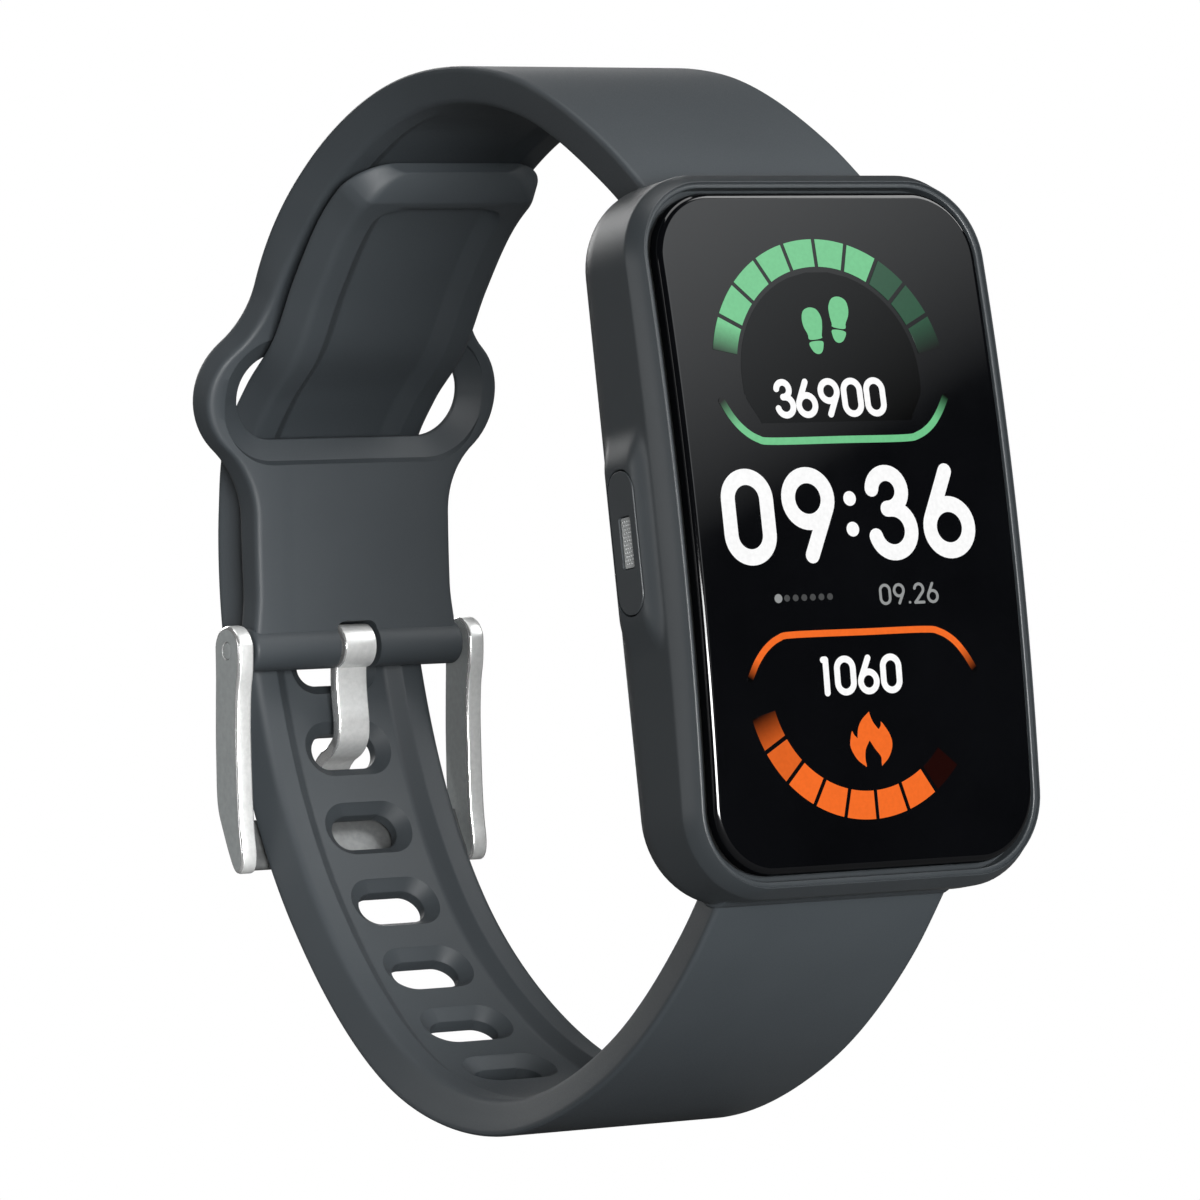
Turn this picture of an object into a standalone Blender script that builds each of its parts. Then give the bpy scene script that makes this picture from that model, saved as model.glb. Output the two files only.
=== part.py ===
"""Fitness tracker band, fastened in a loop: a slim curved-glass case, a two-piece silicone strap
and a pin buckle. The case datum has X across the glass, Y into the case and Z along the strap.
Shapes are drawn in millimetres about that datum, which leans back with the band as it stands."""

import math

import bmesh
import bpy
import numpy as np
from mathutils import Matrix, Vector

MM = 0.001

# How the band stands: the case leans back, and the loop's lowest point is on the ground.
LEAN = math.radians(10.7)
STAND = (0.45, -30.47, 39.515)

# Case, lens and display. The glass is a slice of a cylinder about X.
GLASS_HALF = (11.6, 20.5)
GLASS_CORNER = 4.2
GLASS_RADIUS = 190.0
CASE_HALF = (12.9, 21.8)
CASE_CORNER = 5.4
FLAT_DEPTH = 6.0
FRAME_BACK = 8.4
CAVITY_HALF = (11.2, 16.7)
LUG_INNER = 8.85
POCKET_FRONT = 4.4
POCKET_EDGE = 17.55
COVER_FRONT = 8.7

# Spring bars that hold the strap ends, and the strap.
BAR_Y = 6.7
BAR_Z = 19.9
LUG_HOLE_RADIUS = 0.7
LUG_HOLE_DEPTH = 1.1
TUBE_RADIUS = 0.8
TUBE_BORE = 0.55
TIP_RADIUS = 0.35
TIP_END = 9.6
KNOB_X = 5.0
KNOB_RADIUS = 0.38
RELEASE_TRAVEL = 1.2
SLOT_MARGIN = 0.8
SLOT_HALF = 0.75
TUBE_SLOT_MARGIN = 0.6
TUBE_SLOT_HALF = 0.55
STRAP_WIDTH = 17.0
TAIL_WIDTH = 15.3
NECK_WIDTH = 15.4
BARREL_WIDTH = 16.1
EAR_WIDTH = 22.7
EAR_ROUND = 4.7
EAR_BLEND = 7.0
SIDE_SLOPE = 1.2
EAR_SLOPE = 0.2
TIP_CORNER = 3.0
TIP_SLOPE = 1.9
TIP_EDGE = 0.7
RIM_WIDTH = 1.6
EYE_RADIUS = 2.0
EYE_BORE = 1.05
UPPER_ROUTE = [
    (6.7, 19.9), (11.4, 24.2), (21.3, 30.5), (33.5, 32.7), (44.8, 29.8),
    (53.2, 23.7), (57.0, 17.3), (58.7, 8.8), (59.7, 0.6),
]
LOWER_ROUTE = [
    (6.7, -19.9), (11.4, -24.1), (20.9, -29.8), (34.3, -32.4), (45.0, -29.3), (53.7, -22.3),
    (57.6, -16.9), (60.1, -11.6), (61.8, -5.7), (62.65, 0.6), (62.6, 5.4), (61.8, 10.1),
    (60.3, 14.3), (57.0, 17.2), (52.9, 19.6), (49.3, 23.2), (45.0, 26.7), (40.2, 28.9),
]

# Keeper opening, pin holes, buckle and its pin.
KEEPER_Z = 17.2
KEEPER_NECK = (8.55, 2.9)
KEEPER_FACE = (9.9, 4.0)
HOLE_NECK = (2.45, 1.25)
HOLE_FACE = (3.25, 1.85)
HOLE_PITCH = 5.85
HOLE_COUNT = 7
PIVOT = (59.7, 0.6)
BARREL_RADIUS = 1.45
PIN_RADIUS = 0.55
PIN_BORE = 0.8
NOTCH_HALF = 1.6
PRONG_HALF = 1.25
ARM_INNER = 8.35
ARM_OUTER = 9.55

# Side button.
BUTTON_Y = 3.8
BUTTON_HALF = (1.75, 4.3)
BUTTON_CORNER = 1.3
BOSS_FACE = 13.5
BUTTON_FACE = 13.75


def clear_scene():
    for item in list(bpy.data.objects):
        bpy.data.objects.remove(item, do_unlink=True)


def new_collection(name, hidden=False):
    made = bpy.data.collections.new(name)
    made.hide_render = hidden
    bpy.context.scene.collection.children.link(made)
    return made


def new_material(name, colour, roughness, metallic=0.0):
    made = bpy.data.materials.new(name)
    made.use_nodes = True
    shader = made.node_tree.nodes["Principled BSDF"]
    shader.inputs["Base Color"].default_value = (*colour, 1.0)
    shader.inputs["Roughness"].default_value = roughness
    shader.inputs["Metallic"].default_value = metallic
    return made


clear_scene()
PARTS = new_collection("fitness_tracker_band")
CUTTERS = new_collection("cutters", hidden=True)

SILICONE = new_material("strap_silicone", (0.034, 0.040, 0.045), 0.62)
CASE_PLASTIC = new_material("case_plastic", (0.024, 0.027, 0.030), 0.42)
LENS_GLASS = new_material("lens_glass", (0.004, 0.004, 0.005), 0.06)
SCREEN = new_material("display_stack", (0.01, 0.01, 0.012), 0.25)
STEEL = new_material("satin_steel", (0.72, 0.71, 0.69), 0.28, 1.0)
BOARD = new_material("circuit_board", (0.02, 0.09, 0.05), 0.5)
CELL_FOIL = new_material("cell_foil", (0.55, 0.56, 0.58), 0.4, 1.0)
SEAL = new_material("seal_rubber", (0.02, 0.02, 0.02), 0.75)
CHIP = new_material("chip_resin", (0.03, 0.03, 0.032), 0.45)
COPPER_FLEX = new_material("flex_film", (0.45, 0.22, 0.06), 0.45)
LED_RESIN = new_material("led_resin", (0.2, 0.75, 0.35), 0.3)
GOLD = new_material("gold_contact", (0.85, 0.62, 0.28), 0.25, 1.0)


def new_empty(name, place, parent=None):
    """A datum or a joint axis, at a place in millimetres in its parent's frame."""
    empty = bpy.data.objects.new(name, None)
    empty.empty_display_size = 4 * MM
    empty.location = Vector(place) * MM
    empty.parent = parent
    PARTS.objects.link(empty)
    return empty


DATUM = new_empty("case_datum", STAND)
DATUM.rotation_euler.x = -LEAN


def add(name, bm, material, origin=(0, 0, 0), parent=None, collection=None):
    """Makes an object from a bmesh drawn in millimetres about the datum, with its own origin."""
    bm.normal_update()
    bmesh.ops.recalc_face_normals(bm, faces=bm.faces)
    bm.transform(Matrix.Scale(MM, 4) @ Matrix.Translation(-Vector(origin)))
    mesh = bpy.data.meshes.new(name)
    bm.to_mesh(mesh)
    bm.free()
    if material:
        mesh.materials.append(material)
    mesh.shade_smooth()
    mesh.set_sharp_from_angle(angle=math.radians(35))
    made = bpy.data.objects.new(name, mesh)
    (collection or PARTS).objects.link(made)
    made.parent = parent or DATUM
    if not parent:
        made.location = Vector(origin) * MM
    return made


def add_cutter(name, bm):
    made = add(name, bm, None, collection=CUTTERS)
    made.hide_render = True
    made.display_type = "WIRE"
    return made


def boolean(target, other, operation="DIFFERENCE"):
    modifier = target.modifiers.new(other.name, "BOOLEAN")
    modifier.operation = operation
    modifier.solver = "EXACT"
    modifier.object = other


def bevel(target, width, segments=2, angle=40):
    modifier = target.modifiers.new("rounded edges", "BEVEL")
    modifier.width = width * MM
    modifier.segments = segments
    modifier.limit_method = "ANGLE"
    modifier.angle_limit = math.radians(angle)
    return modifier


def box(low, high):
    bm = bmesh.new()
    bmesh.ops.create_cube(bm, size=1.0)
    low, high = Vector(low), Vector(high)
    bm.transform(Matrix.Translation((low + high) / 2) @ Matrix.Diagonal((*(high - low), 1)))
    return bm


def cylinder(radius, start, end, sides=24):
    """A round bar between two points."""
    start, end = Vector(start), Vector(end)
    bm = bmesh.new()
    bmesh.ops.create_cone(
        bm, cap_ends=True, segments=sides, radius1=radius, radius2=radius, depth=(end - start).length
    )
    turn = (end - start).to_track_quat("Z", "Y").to_matrix().to_4x4()
    bm.transform(Matrix.Translation((start + end) / 2) @ turn)
    return bm


def rounded_rectangle(half_a, half_b, corner, arc=6, side=1):
    """Points round a rectangle with arcs at its corners; side is the spans on each long side."""
    points = []
    for k, (sign_a, sign_b) in enumerate([(1, 1), (-1, 1), (-1, -1), (1, -1)]):
        middle = (sign_a * (half_a - corner), sign_b * (half_b - corner))
        for step in range(arc + 1):
            angle = math.pi / 2 * (k + step / arc)
            points.append((middle[0] + corner * math.cos(angle), middle[1] + corner * math.sin(angle)))
        if k in (1, 3):
            for step in range(1, side):
                points.append((sign_a * half_a, sign_b * (half_b - corner) * (1 - 2 * step / side)))
    return points


def join_rings(bm, rings):
    count = len(rings[0])
    for one, two in zip(rings, rings[1:]):
        for k in range(count):
            bm.faces.new((one[k], one[(k + 1) % count], two[(k + 1) % count], two[k]))


def loft(sections):
    """A closed solid through rings of equally many points, with a flat cap at each end."""
    bm = bmesh.new()
    rings = [[bm.verts.new(point) for point in section] for section in sections]
    join_rings(bm, rings)
    bm.faces.new(rings[0])
    bm.faces.new(list(reversed(rings[-1])))
    return bm


def sag(z):
    """How far the glass falls back from its middle at a height z."""
    return GLASS_RADIUS - math.sqrt(GLASS_RADIUS**2 - z * z)


def stack(levels, arc=6, side=8):
    """A loft along Y. A level is (y, half x, half z, corner, share of the glass's curve)."""
    bm = bmesh.new()
    rings = []
    for y, half_x, half_z, corner, share in levels:
        ring = rounded_rectangle(half_x, half_z, corner, arc, side)
        rings.append([bm.verts.new((x, y + share * sag(z), z)) for x, z in ring])
    join_rings(bm, rings)
    for ring in (rings[0], rings[-1]):
        pairs = [(ring[arc - k], ring[(arc + 1 + k) % len(ring)]) for k in range(len(ring) // 2)]
        for one, two in zip(pairs, pairs[1:]):
            bm.faces.new((*one, *reversed(two)))
    return bm


def slab(y0, y1, half_x, half_z, corner, share=0.0, **steps):
    return stack([(y0, half_x, half_z, corner, share), (y1, half_x, half_z, corner, share)], **steps)


def flipped(bm):
    """The same shape at the lower end of the case."""
    bm.transform(Matrix.Scale(-1, 4, (0, 0, 1)))
    return bm


def stack_x(levels):
    """A loft towards -X of rounded rectangles in Y and Z, about the button's middle."""
    sections = []
    for x, half_y, half_z in levels:
        ring = rounded_rectangle(half_y, half_z, min(half_y, half_z) * 0.7, 5, 1)
        sections.append([(-x, BUTTON_Y + y, z) for y, z in ring])
    return loft(sections)


def button_prism(near, far, gap):
    ring = rounded_rectangle(BUTTON_HALF[0] + gap, BUTTON_HALF[1] + gap, BUTTON_CORNER + gap, 5, 1)
    return loft([[(-x, BUTTON_Y + y, z) for y, z in ring] for x in (near, far)])


def add_case_frame():
    half_x, half_z = CASE_HALF
    frame = add("case_frame", stack([
        (0.5, half_x - 0.55, half_z - 0.55, CASE_CORNER - 0.55, 1.0),
        (0.95, half_x - 0.3, half_z - 0.3, CASE_CORNER - 0.3, 0.9),
        (2.0, half_x, half_z, CASE_CORNER, 0.6),
        (FLAT_DEPTH, half_x, half_z, CASE_CORNER, 0.0),
        (7.3, half_x - 0.35, half_z - 0.35, CASE_CORNER - 0.35, 0.0),
        (FRAME_BACK, half_x - 1.2, half_z - 1.2, CASE_CORNER - 1.2, 0.0),
    ]), CASE_PLASTIC)
    boss = stack_x([
        (half_x - 0.5, 2.1, 5.9),
        (half_x - 0.05, 2.1, 5.6),
        (BOSS_FACE, 1.95, 4.75),
    ])
    boolean(frame, add_cutter("button_boss", boss), "UNION")
    boolean(frame, add_cutter("lens_recess", slab(
        -2.0, 1.5, GLASS_HALF[0] + 0.3, GLASS_HALF[1] + 0.3, GLASS_CORNER + 0.3, 1.0)))
    boolean(frame, add_cutter("display_recess", slab(1.0, 2.6, 10.8, 19.2, 3.2, 1.0)))
    boolean(frame, add_cutter("cavity", slab(1.0, 9.0, *CAVITY_HALF, 2.4)))
    for end, name in ((1, "upper"), (-1, "lower")):
        pocket = box((-LUG_INNER, POCKET_FRONT, POCKET_EDGE), (LUG_INNER, 12, 26))
        reach = LUG_INNER + LUG_HOLE_DEPTH
        bar_hole = cylinder(LUG_HOLE_RADIUS, (-reach, BAR_Y, BAR_Z), (reach, BAR_Y, BAR_Z), 16)
        cut = pocket if end > 0 else flipped(pocket)
        boolean(frame, add_cutter(name + "_strap_pocket", cut))
        boolean(frame, add_cutter(name + "_lug_holes", bar_hole if end > 0 else flipped(bar_hole)))
    boolean(frame, add_cutter("button_hole", button_prism(10.5, 15.0, 0.3)))
    return frame


class Route:
    """A smooth path through points (y, z), measured by the length s along it."""

    def __init__(self, points, side):
        knots = np.array(points, float)
        gaps = np.linalg.norm(np.diff(knots, axis=0), axis=1)
        times = np.concatenate([[0], np.cumsum(gaps)])
        slopes = np.gradient(knots, times, axis=0)
        dense = []
        for k, gap in enumerate(gaps):
            for u in np.linspace(0, 1, 60, endpoint=False):
                blend = (2 * u**3 - 3 * u**2 + 1, u**3 - 2 * u**2 + u, 3 * u**2 - 2 * u**3, u**3 - u**2)
                dense.append(
                    blend[0] * knots[k] + blend[1] * gap * slopes[k]
                    + blend[2] * knots[k + 1] + blend[3] * gap * slopes[k + 1]
                )
        dense.append(knots[-1])
        self.path = np.array(dense)
        steps = np.linalg.norm(np.diff(self.path, axis=0), axis=1)
        self.s = np.concatenate([[0], np.cumsum(steps)])
        self.length = self.s[-1]
        self.side = side

    def at(self, s):
        """The point, the direction along the route and the direction out of the loop, at s."""
        ahead, behind = min(s + 0.05, self.length), max(s - 0.05, 0)
        point = np.array([np.interp(s, self.s, self.path[:, k]) for k in (0, 1)])
        along = np.array([
            np.interp(ahead, self.s, self.path[:, k]) - np.interp(behind, self.s, self.path[:, k])
            for k in (0, 1)
        ])
        along /= np.linalg.norm(along)
        return point, along, self.side * np.array([-along[1], along[0]])

    def nearest(self, y, z):
        return self.s[np.argmin(np.linalg.norm(self.path - (y, z), axis=1))]

    def place(self, s, x, along, out):
        """A point at x across the strap, and at distances along and out from the route's point at s."""
        point, forward, outward = self.at(s)
        y, z = point + along * forward + out * outward
        return (x, y, z)


UPPER = Route(UPPER_ROUTE, 1)
LOWER = Route(LOWER_ROUTE, -1)
S_KEEPER = UPPER.nearest(57.1, KEEPER_Z)
S_HOLE = LOWER.nearest(61.65, -6.15)


def smooth_step(value, low, high):
    t = min(max((value - low) / (high - low), 0.0), 1.0)
    return t * t * (3 - 2 * t)


def strap_section(route, s, width, thickness, channel, slope=SIDE_SLOPE, drop=0.0):
    """A strap's cross-section: rounded outer edges, sloped sides, and a channel on its inner face.
    drop thins the strap from its inner face."""
    half, top, inner = width / 2, thickness / 2, drop - thickness / 2
    rim = min(half - slope - RIM_WIDTH, 5.6)
    side = [
        (half - 0.4, top), (half - 0.1, top - 0.1), (half, top - 0.4),
        (half - slope + 0.05, inner + 0.2), (half - slope - 0.2, inner),
        (rim, inner), (rim - 1.1, inner + channel),
    ]
    ring = [(x, out) for x, out in side] + [(-x, out) for x, out in reversed(side)]
    return [route.place(s, x, 0, out) for x, out in ring]


def rounded_end(s, length, corner):
    """How much each side narrows at s, for a strap end with this corner radius."""
    into = s - (length - corner)
    return corner - math.sqrt(max(corner**2 - into**2, 0)) if into > 0 else 0.0


def upper_width(s):
    """The upper strap's width: it narrows towards the buckle, with round ears beside the keeper."""
    narrow = smooth_step(s, S_KEEPER - 16, S_KEEPER + 4)
    flare = smooth_step(s, UPPER.length - 4, UPPER.length)
    width = STRAP_WIDTH + (NECK_WIDTH - STRAP_WIDTH) * narrow + (BARREL_WIDTH - NECK_WIDTH) * flare
    chord = math.sqrt(max(EAR_ROUND**2 - (s - S_KEEPER) ** 2, 0))
    ear = EAR_WIDTH + 2 * (chord - EAR_ROUND)
    near = max(EAR_BLEND - abs(width - ear), 0) / EAR_BLEND
    return max(width, ear) + near**3 * EAR_BLEND / 6


def upper_slope(s):
    """How far the sides lean in: the ears and the neck stand almost straight."""
    return SIDE_SLOPE + (EAR_SLOPE - SIDE_SLOPE) * smooth_step(s, S_KEEPER - 14, S_KEEPER - 4)


def lower_width(s):
    narrow = smooth_step(s, S_HOLE - 36, S_HOLE - 12)
    width = STRAP_WIDTH + (TAIL_WIDTH - STRAP_WIDTH) * narrow
    return width - 2 * rounded_end(s, LOWER.length, TIP_CORNER)


def funnel(route, s, neck, face, levels):
    """A stadium-shaped opening through a strap; a level is (distance out, share of the face size)."""
    sections = []
    for out, share in levels:
        half_x, half_s = (n + (f - n) * share for n, f in zip(neck, face))
        ring = rounded_rectangle(half_x, half_s, half_s * 0.98, 5, 1)
        sections.append([route.place(s, x, a, out) for x, a in ring])
    return loft(sections)


def strap_eye(name, end):
    bar = (BAR_Y, end * BAR_Z)
    outer = add_cutter(name + "_eye", cylinder(EYE_RADIUS, (-8.5, *bar), (8.5, *bar), 32))
    bore = add_cutter(name + "_eye_bore", cylinder(EYE_BORE, (-10, *bar), (10, *bar), 20))
    slot = release_slot(end, SLOT_MARGIN, SLOT_HALF, BAR_Y + 9)
    return outer, bore, add_cutter(name + "_release_slot", slot)


def release_slot(end, margin, half, back):
    """The slot that a release knob slides in."""
    low = (-KNOB_X - margin, BAR_Y, end * BAR_Z - half)
    return box(low, (-KNOB_X + RELEASE_TRAVEL + margin, back, end * BAR_Z + half))


def add_strap_upper():
    stations = np.concatenate([
        np.linspace(0, S_KEEPER - 9, 26), np.linspace(S_KEEPER - 8, S_KEEPER + 8, 17),
        np.linspace(S_KEEPER + 9, UPPER.length, 5),
    ])
    sections = []
    for s in stations:
        thickness = 3.3 - 1.1 * smooth_step(s, 2, 30) - 0.2 * smooth_step(s, S_KEEPER + 4, UPPER.length)
        channel = 0.05 + 0.45 * smooth_step(s, 30, 36) * (1 - smooth_step(s, S_KEEPER - 12, S_KEEPER - 7))
        sections.append(strap_section(UPPER, s, upper_width(s), thickness, channel, upper_slope(s)))
    strap = add("strap_upper", loft(sections), SILICONE)
    outer, bore, slot = strap_eye("upper", 1)
    boolean(strap, outer, "UNION")
    barrel = cylinder(BARREL_RADIUS, (-BARREL_WIDTH / 2, *PIVOT), (BARREL_WIDTH / 2, *PIVOT), 28)
    boolean(strap, add_cutter("pivot_barrel", barrel), "UNION")
    boolean(strap, bore)
    boolean(strap, slot)
    boolean(strap, add_cutter("pivot_bore", cylinder(PIN_BORE, (-12, *PIVOT), (12, *PIVOT), 20)))
    boolean(strap, add_cutter("prong_notch", box(
        (-NOTCH_HALF, PIVOT[0] - 3, PIVOT[1] - 3), (NOTCH_HALF, PIVOT[0] + 3, PIVOT[1] + 1.9))))
    levels = [(-2.2, 1.2), (-1.1, 1.0), (-0.2, 0.0), (0.2, 0.0), (1.1, 1.0), (2.2, 1.2)]
    keeper = funnel(UPPER, S_KEEPER, KEEPER_NECK, KEEPER_FACE, levels)
    boolean(strap, add_cutter("keeper_opening", keeper))


def add_strap_lower():
    stations = np.concatenate([
        np.linspace(0, LOWER.length - 3.6, 62), LOWER.length - np.array([3.0, 2.6, 1.9, 1.3, 0.8, 0.35, 0.06]),
    ])
    sections = []
    for s in stations:
        thickness = 3.3 - 1.0 * smooth_step(s, 2, 30) - 0.4 * smooth_step(s, S_HOLE + 2, S_HOLE + 14)
        channel = 0.05 + 0.7 * smooth_step(s, S_HOLE - 42, S_HOLE - 34) * (
            1 - smooth_step(s, LOWER.length - 3.8, LOWER.length - 2.6))
        drop = (thickness - TIP_EDGE) * max(s - LOWER.length + TIP_SLOPE, 0) / TIP_SLOPE
        sections.append(strap_section(LOWER, s, lower_width(s), thickness, channel, drop=drop))
    strap = add("strap_lower", loft(sections), SILICONE)
    outer, bore, slot = strap_eye("lower", -1)
    boolean(strap, outer, "UNION")
    boolean(strap, bore)
    boolean(strap, slot)
    for k in range(HOLE_COUNT):
        s = S_HOLE + HOLE_PITCH * (1 - k)
        levels = [(-2.2, 2.2), (-0.45, 1.0), (0.35, 0.0), (2.2, 0.0)]
        hole = funnel(LOWER, s, HOLE_NECK, HOLE_FACE, levels)
        boolean(strap, add_cutter(f"pin_hole_{k}", hole))


def add_spring_bar(name, end):
    """A quick-release bar: a tube with one fixed tip, and a sprung tip moved by a knob."""
    bar = (BAR_Y, end * BAR_Z)
    tube = add(f"{name}_bar_tube", cylinder(TUBE_RADIUS, (-8.1, *bar), (8.1, *bar), 20), STEEL)
    tip = add_cutter(f"{name}_fixed_tip", cylinder(TIP_RADIUS, (7.0, *bar), (TIP_END, *bar), 12))
    boolean(tube, add_cutter(f"{name}_tube_bore", cylinder(TUBE_BORE, (-9, *bar), (3.5, *bar), 16)))
    boolean(tube, tip, "UNION")
    slot = release_slot(end, TUBE_SLOT_MARGIN, TUBE_SLOT_HALF, BAR_Y + 2)
    boolean(tube, add_cutter(f"{name}_tube_slot", slot))
    joint = new_empty(f"{name}_release_axis", (-KNOB_X, *bar), DATUM)
    slider = add(f"{name}_release_tip", cylinder(TIP_RADIUS, (-TIP_END, *bar), (-KNOB_X + 0.5, *bar), 12),
                 STEEL, (-KNOB_X, *bar), joint)
    knob = cylinder(KNOB_RADIUS, (-KNOB_X, *bar), (-KNOB_X, BAR_Y + 2.6, end * BAR_Z), 12)
    boolean(slider, add_cutter(f"{name}_knob", knob), "UNION")
    add_coil(f"{name}_bar_spring", (-2.9, *bar), 0.38, 0.07, 6, 0.32)


def add_coil(name, start, radius, wire, turns, pitch):
    """A compression spring along X, drawn at its fully compressed length."""
    curve = bpy.data.curves.new(name, "CURVE")
    curve.dimensions = "3D"
    curve.bevel_depth = wire * MM
    curve.bevel_resolution = 1
    curve.use_fill_caps = True
    count = turns * 9 + 1
    line = curve.splines.new("POLY")
    line.points.add(count - 1)
    for k, point in enumerate(line.points):
        angle = 2 * math.pi * k / 9
        place = Vector((pitch * k / 9, radius * math.cos(angle), radius * math.sin(angle))) * MM
        point.co = (*place, 1.0)
    curve.materials.append(STEEL)
    made = bpy.data.objects.new(name, curve)
    PARTS.objects.link(made)
    made.parent = DATUM
    made.location = Vector(start) * MM


def outline_prism(points, x0, x1):
    """A flat outline (y, z) drawn through X."""
    return loft([[(x, y, z) for y, z in points] for x in (x0, x1)])


def arc(middle, radius, start, stop, steps):
    angles = np.radians(np.linspace(start, stop, steps + 1))
    return [(middle[0] + radius * math.cos(a), middle[1] + radius * math.sin(a)) for a in angles]


ARM_OUTLINE = arc(PIVOT, 1.65, 0, 180, 10) + [
    (58.35, -0.9), (58.9, -2.4), (59.4, -4.6), (59.75, -7.0), (60.05, -9.4), (60.2, -11.4), (60.2, -12.8),
    (60.45, -13.7), (61.0, -14.1), (61.6, -13.8), (62.1, -12.7), (62.55, -11.3), (62.95, -9.8), (62.95, -8.5),
    (62.7, -6.8), (62.4, -4.9), (61.95, -2.6), (61.6, -0.9),
]
CROSSBAR = [
    (61.95, -11.0), (62.15, -10.5), (62.5, -10.6), (62.6, -11.2), (62.25, -12.5),
    (61.7, -13.7), (61.25, -13.9), (61.0, -13.5), (61.5, -12.3),
]


def add_buckle():
    swing = new_empty("buckle_axis", (0, *PIVOT), DATUM)
    arm = outline_prism(ARM_OUTLINE, ARM_INNER, ARM_OUTER)
    frame = add("buckle_frame", arm, STEEL, (0, *PIVOT), swing)
    other = outline_prism(ARM_OUTLINE, -ARM_OUTER, -ARM_INNER)
    bar = outline_prism(CROSSBAR, -ARM_INNER - 0.5, ARM_INNER + 0.5)
    boolean(frame, add_cutter("crossbar", bar), "UNION")
    boolean(frame, add_cutter("left_arm", other), "UNION")
    boolean(frame, add_cutter("arm_bores", cylinder(PIN_BORE - 0.05, (-12, *PIVOT), (12, *PIVOT), 20)))
    pin = cylinder(PIN_RADIUS, (-ARM_OUTER + 0.05, *PIVOT), (ARM_OUTER - 0.05, *PIVOT), 16)
    add("buckle_pin", pin, STEEL)
    lift = new_empty("prong_axis", (0, 0, 0), swing)
    ring = cylinder(BARREL_RADIUS, (-PRONG_HALF, *PIVOT), (PRONG_HALF, *PIVOT), 28)
    prong = add("buckle_prong", ring, STEEL, (0, *PIVOT), lift)
    boolean(prong, add_cutter("prong_shank", prong_shank()), "UNION")
    boolean(prong, add_cutter("prong_bore", cylinder(PIN_BORE, (-5, *PIVOT), (5, *PIVOT), 20)))


PRONG_ROUTE = [
    (60.2, -0.6), (60.4, -1.6), (60.5, -3.0), (60.55, -4.4), (60.85, -5.5), (61.7, -6.15),
    (62.8, -6.5), (63.8, -7.2), (64.15, -9.0), (63.95, -11.4), (63.55, -13.3),
]


def prong_shank():
    route = Route(PRONG_ROUTE, -1)
    sections = []
    for s in np.linspace(0, route.length, 26):
        tip = rounded_end(s, route.length, 0.9)
        half, thick = PRONG_HALF - 0.02 - tip, 0.43 - 0.2 * tip
        ring = [(half - 0.15, thick), (half, thick - 0.15), (half, 0.15 - thick), (half - 0.15, -thick)]
        ring += [(-x, out) for x, out in reversed(ring)]
        sections.append([route.place(s, x, 0, out) for x, out in ring])
    return loft(sections)


def add_glass_and_display():
    lens = stack([
        (0.0, GLASS_HALF[0] - 0.35, GLASS_HALF[1] - 0.35, GLASS_CORNER - 0.35, 1.0),
        (0.12, GLASS_HALF[0] - 0.1, GLASS_HALF[1] - 0.1, GLASS_CORNER - 0.1, 1.0),
        (0.4, *GLASS_HALF, GLASS_CORNER, 1.0),
        (0.9, *GLASS_HALF, GLASS_CORNER, 1.0),
    ], arc=8, side=14)
    add("front_lens", lens, LENS_GLASS)
    gasket = add("lens_gasket", slab(1.02, 1.38, 11.5, 20.4, 4.1, 1.0), SEAL)
    boolean(gasket, add_cutter("gasket_inside", slab(0.0, 3.0, 10.85, 19.3, 3.2, 1.0)))
    add("display_panel", slab(1.02, 2.35, 10.5, 18.95, 2.9, 1.0), SCREEN)
    flex = box((-3.2, 3.35, -13.5), (3.2, 3.5, -1.0))
    add("display_flex", flex, COPPER_FLEX)


def slab_between(y0, y1, low, high):
    return box((low[0], y0, low[1]), (high[0], y1, high[1]))


CHASSIS = (3.7, 4.2)
BOARD_LAYER = (4.5, 5.2)
CHIP_FACE = 5.5
SCREW_PLACES = {"a": (-7.0, 14.3), "b": (4.0, 14.3)}
SCREW_HOLE = 0.75
SCREW_HEAD = 1.1
SCREW_SHANK = 0.45
DRIVE_HALF = (0.7, 0.12)
MOTOR = (8.4, 6.3)
MOTOR_RADIUS = 1.6
WEIGHT_RADIUS = 1.5
WEIGHT_CUT = 0.45


def add_electronics():
    chassis = add("inner_chassis", slab(*CHASSIS, 8.9, 16.2, 2.0, side=1), CHIP)
    boolean(chassis, add_cutter("chassis_window", box((-3.6, 2, -12.9), (3.6, 5, -6.5))))
    board = add("main_board", slab_between(*BOARD_LAYER, (-9.1, -1.6), (6.0, 16.0)), BOARD)
    add("shield_can", slab_between(CHIP_FACE, 6.9, (-7.6, 4.2), (2.2, 12.6)), STEEL)
    add("radio_chip", slab_between(CHIP_FACE, 6.4, (-7.6, -0.6), (-3.0, 3.4)), CHIP)
    add("battery", slab_between(BOARD_LAYER[0], 7.3, (-10.0, -15.8), (10.0, -2.0)), CELL_FOIL)
    for name, place in SCREW_PLACES.items():
        add_board_screw(name, *place, (board, chassis))
    add_motor()


def add_board_screw(name, x, z, held):
    """A slotted screw that goes through the parts it holds."""
    hole = add_cutter(f"board_screw_hole_{name}", cylinder(SCREW_HOLE, (x, 3, z), (x, 6, z), 14))
    for part in held:
        boolean(part, hole)
    screw = add(f"board_screw_{name}", cylinder(SCREW_HEAD, (x, 5.45, z), (x, 6.05, z), 16), STEEL)
    shank = cylinder(SCREW_SHANK, (x, 3.75, z), (x, 5.7, z), 12)
    boolean(screw, add_cutter(f"board_screw_shank_{name}", shank), "UNION")
    drive_x, drive_z = DRIVE_HALF
    drive = box((x - drive_x, 5.85, z - drive_z), (x + drive_x, 6.5, z + drive_z))
    boolean(screw, add_cutter(f"board_screw_drive_{name}", drive))


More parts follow.
